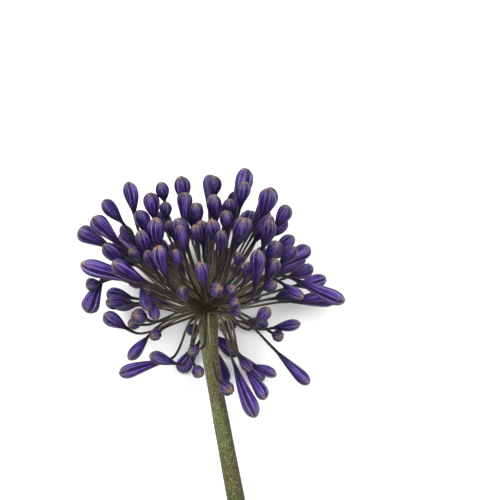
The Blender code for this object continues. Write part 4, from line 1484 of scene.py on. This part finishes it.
def make_buds(name, umbel, form, shortest, longest):
    """One piece with all the buds of a stage, set on their pedicels."""
    chosen = (umbel.length >= shortest) & (umbel.length < longest)
    foot = umbel.nodes[chosen, PEDICEL_NODES]
    tip = umbel.nodes[chosen, -1]
    facts = {
        "lean": to_world(tip) - to_world(foot),
        "length": umbel.length[chosen] * MM,
        "girth": umbel.width[chosen] / 2.0 * MM,
        "age": np.clip((umbel.length[chosen] - AGE_FROM) / (AGE_TO - AGE_FROM), 0.0, 1.0),
    }
    shapes = bud_shapes(name, form)
    carrier = carrier_mesh(name + "_feet", to_world(foot), [], facts)
    piece = grown(name, carrier, SET_BUDS, {"Bud shapes": shapes, "Seed": SEED, "Finish": PETALS})
    for shape in list(shapes.objects):
        bpy.data.objects.remove(shape)
    bpy.data.collections.remove(shapes)
    print(name, "buds:", int(chosen.sum()), "triangles:", triangles(piece))
    return piece


buds = [make_buds(name, umbel, *stage) for name, stage in STAGES.items()]

# %% [markdown]
# ## The knob
# The receptacle is the end of the scape, swollen to carry the florets. Little of it shows between the
# roots, yet the gaps would look empty without it. It is a turned body, uneven as plant tissue is, with the
# thin scar that the fallen bud sheath left as a ring at its neck.

# %% Receptacle
# Radius and height of the knob's outline, from its neck over the ring scar to its top
KNOB_OUTLINE = [(SCAPE_TOP_RADIUS, -KNOB_NECK), (5.45, -6.5), (5.75, -6.0), (5.65, -5.5), (5.7, -4.6),
                (6.0, -3.0), (6.25, -1.4), (6.25, 0.4), (5.9, 2.2), (5.1, 3.8), (3.6, 5.2), (1.7, 6.0)]
KNOB_TOP = 0.2
KNOB_SIDES = 64
KNOB_RINGS = 34

# Low bumps: their height as a share of the radius, their number round, their twist and their pace upwards
BUMP_HEIGHT = 0.018
BUMPS_ROUND = 9
BUMP_TWIST = 0.8
BUMPS_UP = 1.7


def make_receptacle():
    outline = smooth_line(KNOB_OUTLINE, KNOB_RINGS)
    turns = np.linspace(0, 2 * np.pi, KNOB_SIDES, endpoint=False)
    height = outline[:, 1][:, None]
    bumps = np.sin(BUMPS_ROUND * turns + BUMP_TWIST * height) * np.sin(BUMPS_UP * height)
    radius = outline[:, 0][:, None] * (1.0 + BUMP_HEIGHT * bumps)
    drift = scape_offset(-height) * (height < 0.0)
    across = radius * np.sin(turns) + drift
    towards = radius * np.cos(turns)
    rings = np.stack([across, np.broadcast_to(height, across.shape), towards], axis=-1)
    low_end, high_end = outline[0, 1], outline[-1, 1]
    low = (scape_offset(KNOB_NECK), -KNOB_NECK, 0.0)
    high = (0.0, high_end + KNOB_TOP, 0.0)
    mesh = ring_mesh("receptacle", to_world(rings), to_world(low), to_world(high), {})
    share = np.repeat((outline[:, 1] - low_end) / (high_end - low_end), KNOB_SIDES)
    keep_fact(mesh, "along", [*share, 0.0, 1.0])
    mesh.materials.append(KNOB)
    mesh.shade_smooth()
    return add_object("receptacle", mesh)


receptacle = make_receptacle()
print("receptacle triangles:", triangles(receptacle))

# %% [markdown]
# ## The scape
# The stalk is the same kind of rod as a pedicel, so the same tree sweeps it, with more sides, more rings
# and shallow uneven ribs. Its top is tucked into the knob's neck, so that no seam shows. Soft swellings
# along it keep it from looking turned on a lathe, and further down it is a little stouter than the solid
# that it replaces.

# %% Growing the scape
SCAPE_TUCK = 1.0
SCAPE_KNOTS = 14
SCAPE_SIDES = 96
SCAPE_RINGS = 120
SCAPE_RIBS = 4.5
SCAPE_RIB_DEPTH = 0.05
SWELLINGS = 0.02

# How much stouter than the solid the stalk is, at these distances below the hub
STOUT_DROP = [30.0, 65.0, 105.0, 152.0]
STOUTER = [0.0, 0.05, 0.12, 0.03]


def make_scape():
    drop = np.linspace(KNOB_NECK - SCAPE_TUCK, SCAPE_LENGTH, SCAPE_KNOTS)
    points = np.stack([scape_offset(drop), -drop, np.zeros_like(drop)], axis=1)
    girth = scape_radius(drop) * (1.0 + np.interp(drop, STOUT_DROP, STOUTER))
    draw = np.random.default_rng(SEED)
    girth[1:-1] *= 1.0 + SWELLINGS * draw.uniform(-1.0, 1.0, SCAPE_KNOTS - 2)
    path = to_world(points)
    carrier = carrier_mesh("scape_path", path, chain_edges(1, SCAPE_KNOTS), {"girth": girth * MM})
    values = {"Sides": SCAPE_SIDES, "Rings": SCAPE_RINGS, "Ribs": SCAPE_RIBS,
              "Rib depth": SCAPE_RIB_DEPTH, "Finish": STALK}
    return grown("scape_stalk", carrier, SWEEP, values)


scape = make_scape()
print("scape triangles:", triangles(scape))

# %% [markdown]
# ## The square cut
# Cut stalks show pale, spongy pith with a darker rind, and the knife leaves the rind's edge faintly
# rounded. The sweep closed the end with one flat face. Insetting that face a few times gives rings to work
# with: the first rounds the rind, the others let the pith sink by a fraction of a millimetre as it dries.

# %% Dressing the cut
# How far each inset goes inwards, and then out of the cut
CUT_STEPS = [(0.25, 0.12), (0.55, -0.22), (1.0, -0.12), (1.4, -0.05)]


def cut_face(shape):
    """The wide flat face at the cut end, which lies furthest down the scape."""
    wide = [face for face in shape.faces if len(face.verts) == SCAPE_SIDES]
    return min(wide, key=lambda face: face.calc_center_median().y)


def dress_cut(piece):
    """Turns the stalk's flat end into a rim and a slightly sunken face of pith, marked for the finish."""
    shape = bmesh.new()
    shape.from_mesh(piece.data)
    pith = shape.verts.layers.float.new("pith")
    for inwards, outwards in CUT_STEPS:
        face = [cut_face(shape)]
        bmesh.ops.inset_individual(shape, faces=face, thickness=inwards * MM, depth=outwards * MM)
        for corner in cut_face(shape).verts:
            corner[pith] = 1.0
    bmesh.ops.poke(shape, faces=[cut_face(shape)])
    shape.normal_update()
    shape.to_mesh(piece.data)
    shape.free()


dress_cut(scape)
print("scape triangles with its cut:", triangles(scape))

# %% [markdown]
# ## Joining the fixed model
# Every piece rides on the flower's one body and takes the place of the plain solid that it was grown on:
# the stalk stands for the scape, and knob, pedicels and buds together stand for the umbel.

# %% Riding and replacing
UNUSED_FACTS = ("lean", "length", "girth")


def place_piece(piece, node):
    """Puts a piece on the flower's body in place of a solid, without the facts that no finish reads."""
    for label in UNUSED_FACTS:
        if label in piece.data.attributes:
            piece.data.attributes.remove(piece.data.attributes[label])
    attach(piece, "root")
    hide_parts(node)


place_piece(scape, "scape")
for piece in (receptacle, pedicels, *buds):
    place_piece(piece, "umbel")
print("triangles in all:", sum(triangles(piece) for piece in (scape, receptacle, pedicels, *buds)))

# %% [markdown]
# ## Table and light
# A wide pale table carries the flower. A big soft lamp up and to the left gives the buds their form, a
# weaker one from the right fills the shadows, and a pale sky lights all sides. Together they are strong
# enough to wash the table white, and the colours of the finishes above are mixed deep to suit them.

# %% The table
TABLE_SIDE = 8.0

# The table's face lies a hair under the flower's, so that the two never share a plane
TABLE_DROP = 0.2 * MM
TABLE_COLOUR = colour(0.97, 0.97, 0.97)
TABLE_ROUGHNESS = 0.9


def make_table():
    half = TABLE_SIDE / 2.0
    corners = [(half * x, half * y, -TABLE_DROP) for x, y in ((-1, -1), (1, -1), (1, 1), (-1, 1))]
    mesh = bpy.data.meshes.new("table")
    mesh.from_pydata(corners, [], [(0, 1, 2, 3)])
    finish = Finish("table")
    finish.shader.inputs["Base Color"].default_value = TABLE_COLOUR
    finish.shader.inputs["Roughness"].default_value = TABLE_ROUGHNESS
    mesh.materials.append(finish.material)
    table = add_object("table", mesh)
    return table


table = make_table()
print("table corners:", len(table.data.vertices))

# %% Lamps and sky
# Each lamp's place in the flower's own directions, its width in metres and its power in watts
LAMPS = {
    "key": ((-750.0, 650.0, 1700.0), 1.0, 33.0),
    "fill": ((900.0, 350.0, 1700.0), 1.3, 27.0),
}

# The sky's strength at its edge and overhead, and how high up it is full
SKY_LOW = 0.55
SKY_HIGH = 0.65
SKY_REACH = 0.8


def placed_matrix(axes, at):
    """A placement from its three axes and its place, in world directions."""
    rows = [[axis[i] for axis in axes] + [at[i]] for i in range(3)]
    return Matrix([*rows, [0, 0, 0, 1]])


def make_lamp(name, place, size, power):
    """A round soft lamp that points at the hub."""
    lamp = bpy.data.lights.new(name, "AREA")
    lamp.shape = "DISK"
    lamp.size = size
    lamp.energy = power
    at = to_world(place)
    aim = unit(at - HUB)
    side = unit(np.cross((0.0, 0.0, 1.0), aim))
    add_object(name, lamp).matrix_world = placed_matrix((side, np.cross(aim, side), aim), at)


def make_sky():
    """A white sky, a little stronger overhead than at its edge."""
    world = bpy.data.worlds.new("sky")
    world.use_nodes = True
    bpy.context.scene.world = world
    graph = Graph(world.node_tree)
    up = graph.split(graph.node("ShaderNodeTexCoord", output="Generated"))[2]
    strength = SKY_LOW + (SKY_HIGH - SKY_LOW) * up.rise(0.0, SKY_REACH)
    ground = world.node_tree.nodes["Background"]
    graph.tree.links.new(strength.socket, ground.inputs["Strength"])
    ground.inputs["Color"].default_value = colour(1.0, 1.0, 1.0)


for name, (place, size, power) in LAMPS.items():
    make_lamp(name, place, size, power)
make_sky()

# %% [markdown]
# ## Camera
# The picture looks at the head from above its front, square to the leaning scape, so the camera looks along
# the flower's own `towards` direction. One pixel is 0.55 mm at the hub. A long lens from three metres away
# keeps near buds from looking much larger than far ones.

# %% Camera
PICTURE_SIDE = 500
HUB_PIXEL = (208, 309)
MM_PER_PIXEL = 0.55
CAMERA_DISTANCE = 3000.0
SENSOR = 36.0


def make_camera():
    """A camera that shows the hub at its pixel, looking straight down on the leaning scape."""
    camera = bpy.data.cameras.new("camera")
    camera.sensor_width = SENSOR
    camera.lens = SENSOR * CAMERA_DISTANCE / (PICTURE_SIDE * MM_PER_PIXEL)
    middle = PICTURE_SIDE / 2.0
    across = (middle - HUB_PIXEL[0]) * MM_PER_PIXEL
    up = (HUB_PIXEL[1] - middle) * MM_PER_PIXEL
    axes = [unit(to_world(way) - HUB) for way in np.eye(3)]
    holder = add_object("camera", camera)
    holder.matrix_world = placed_matrix(axes, to_world((across, up, CAMERA_DISTANCE)))
    bpy.context.scene.camera = holder
    return camera


camera = make_camera()
print("lens in mm:", round(camera.lens, 1))

# %% [markdown]
# ## Picture
# The plain colour transform keeps whites white.

# %% Last things
bpy.context.scene.view_settings.view_transform = "Standard"
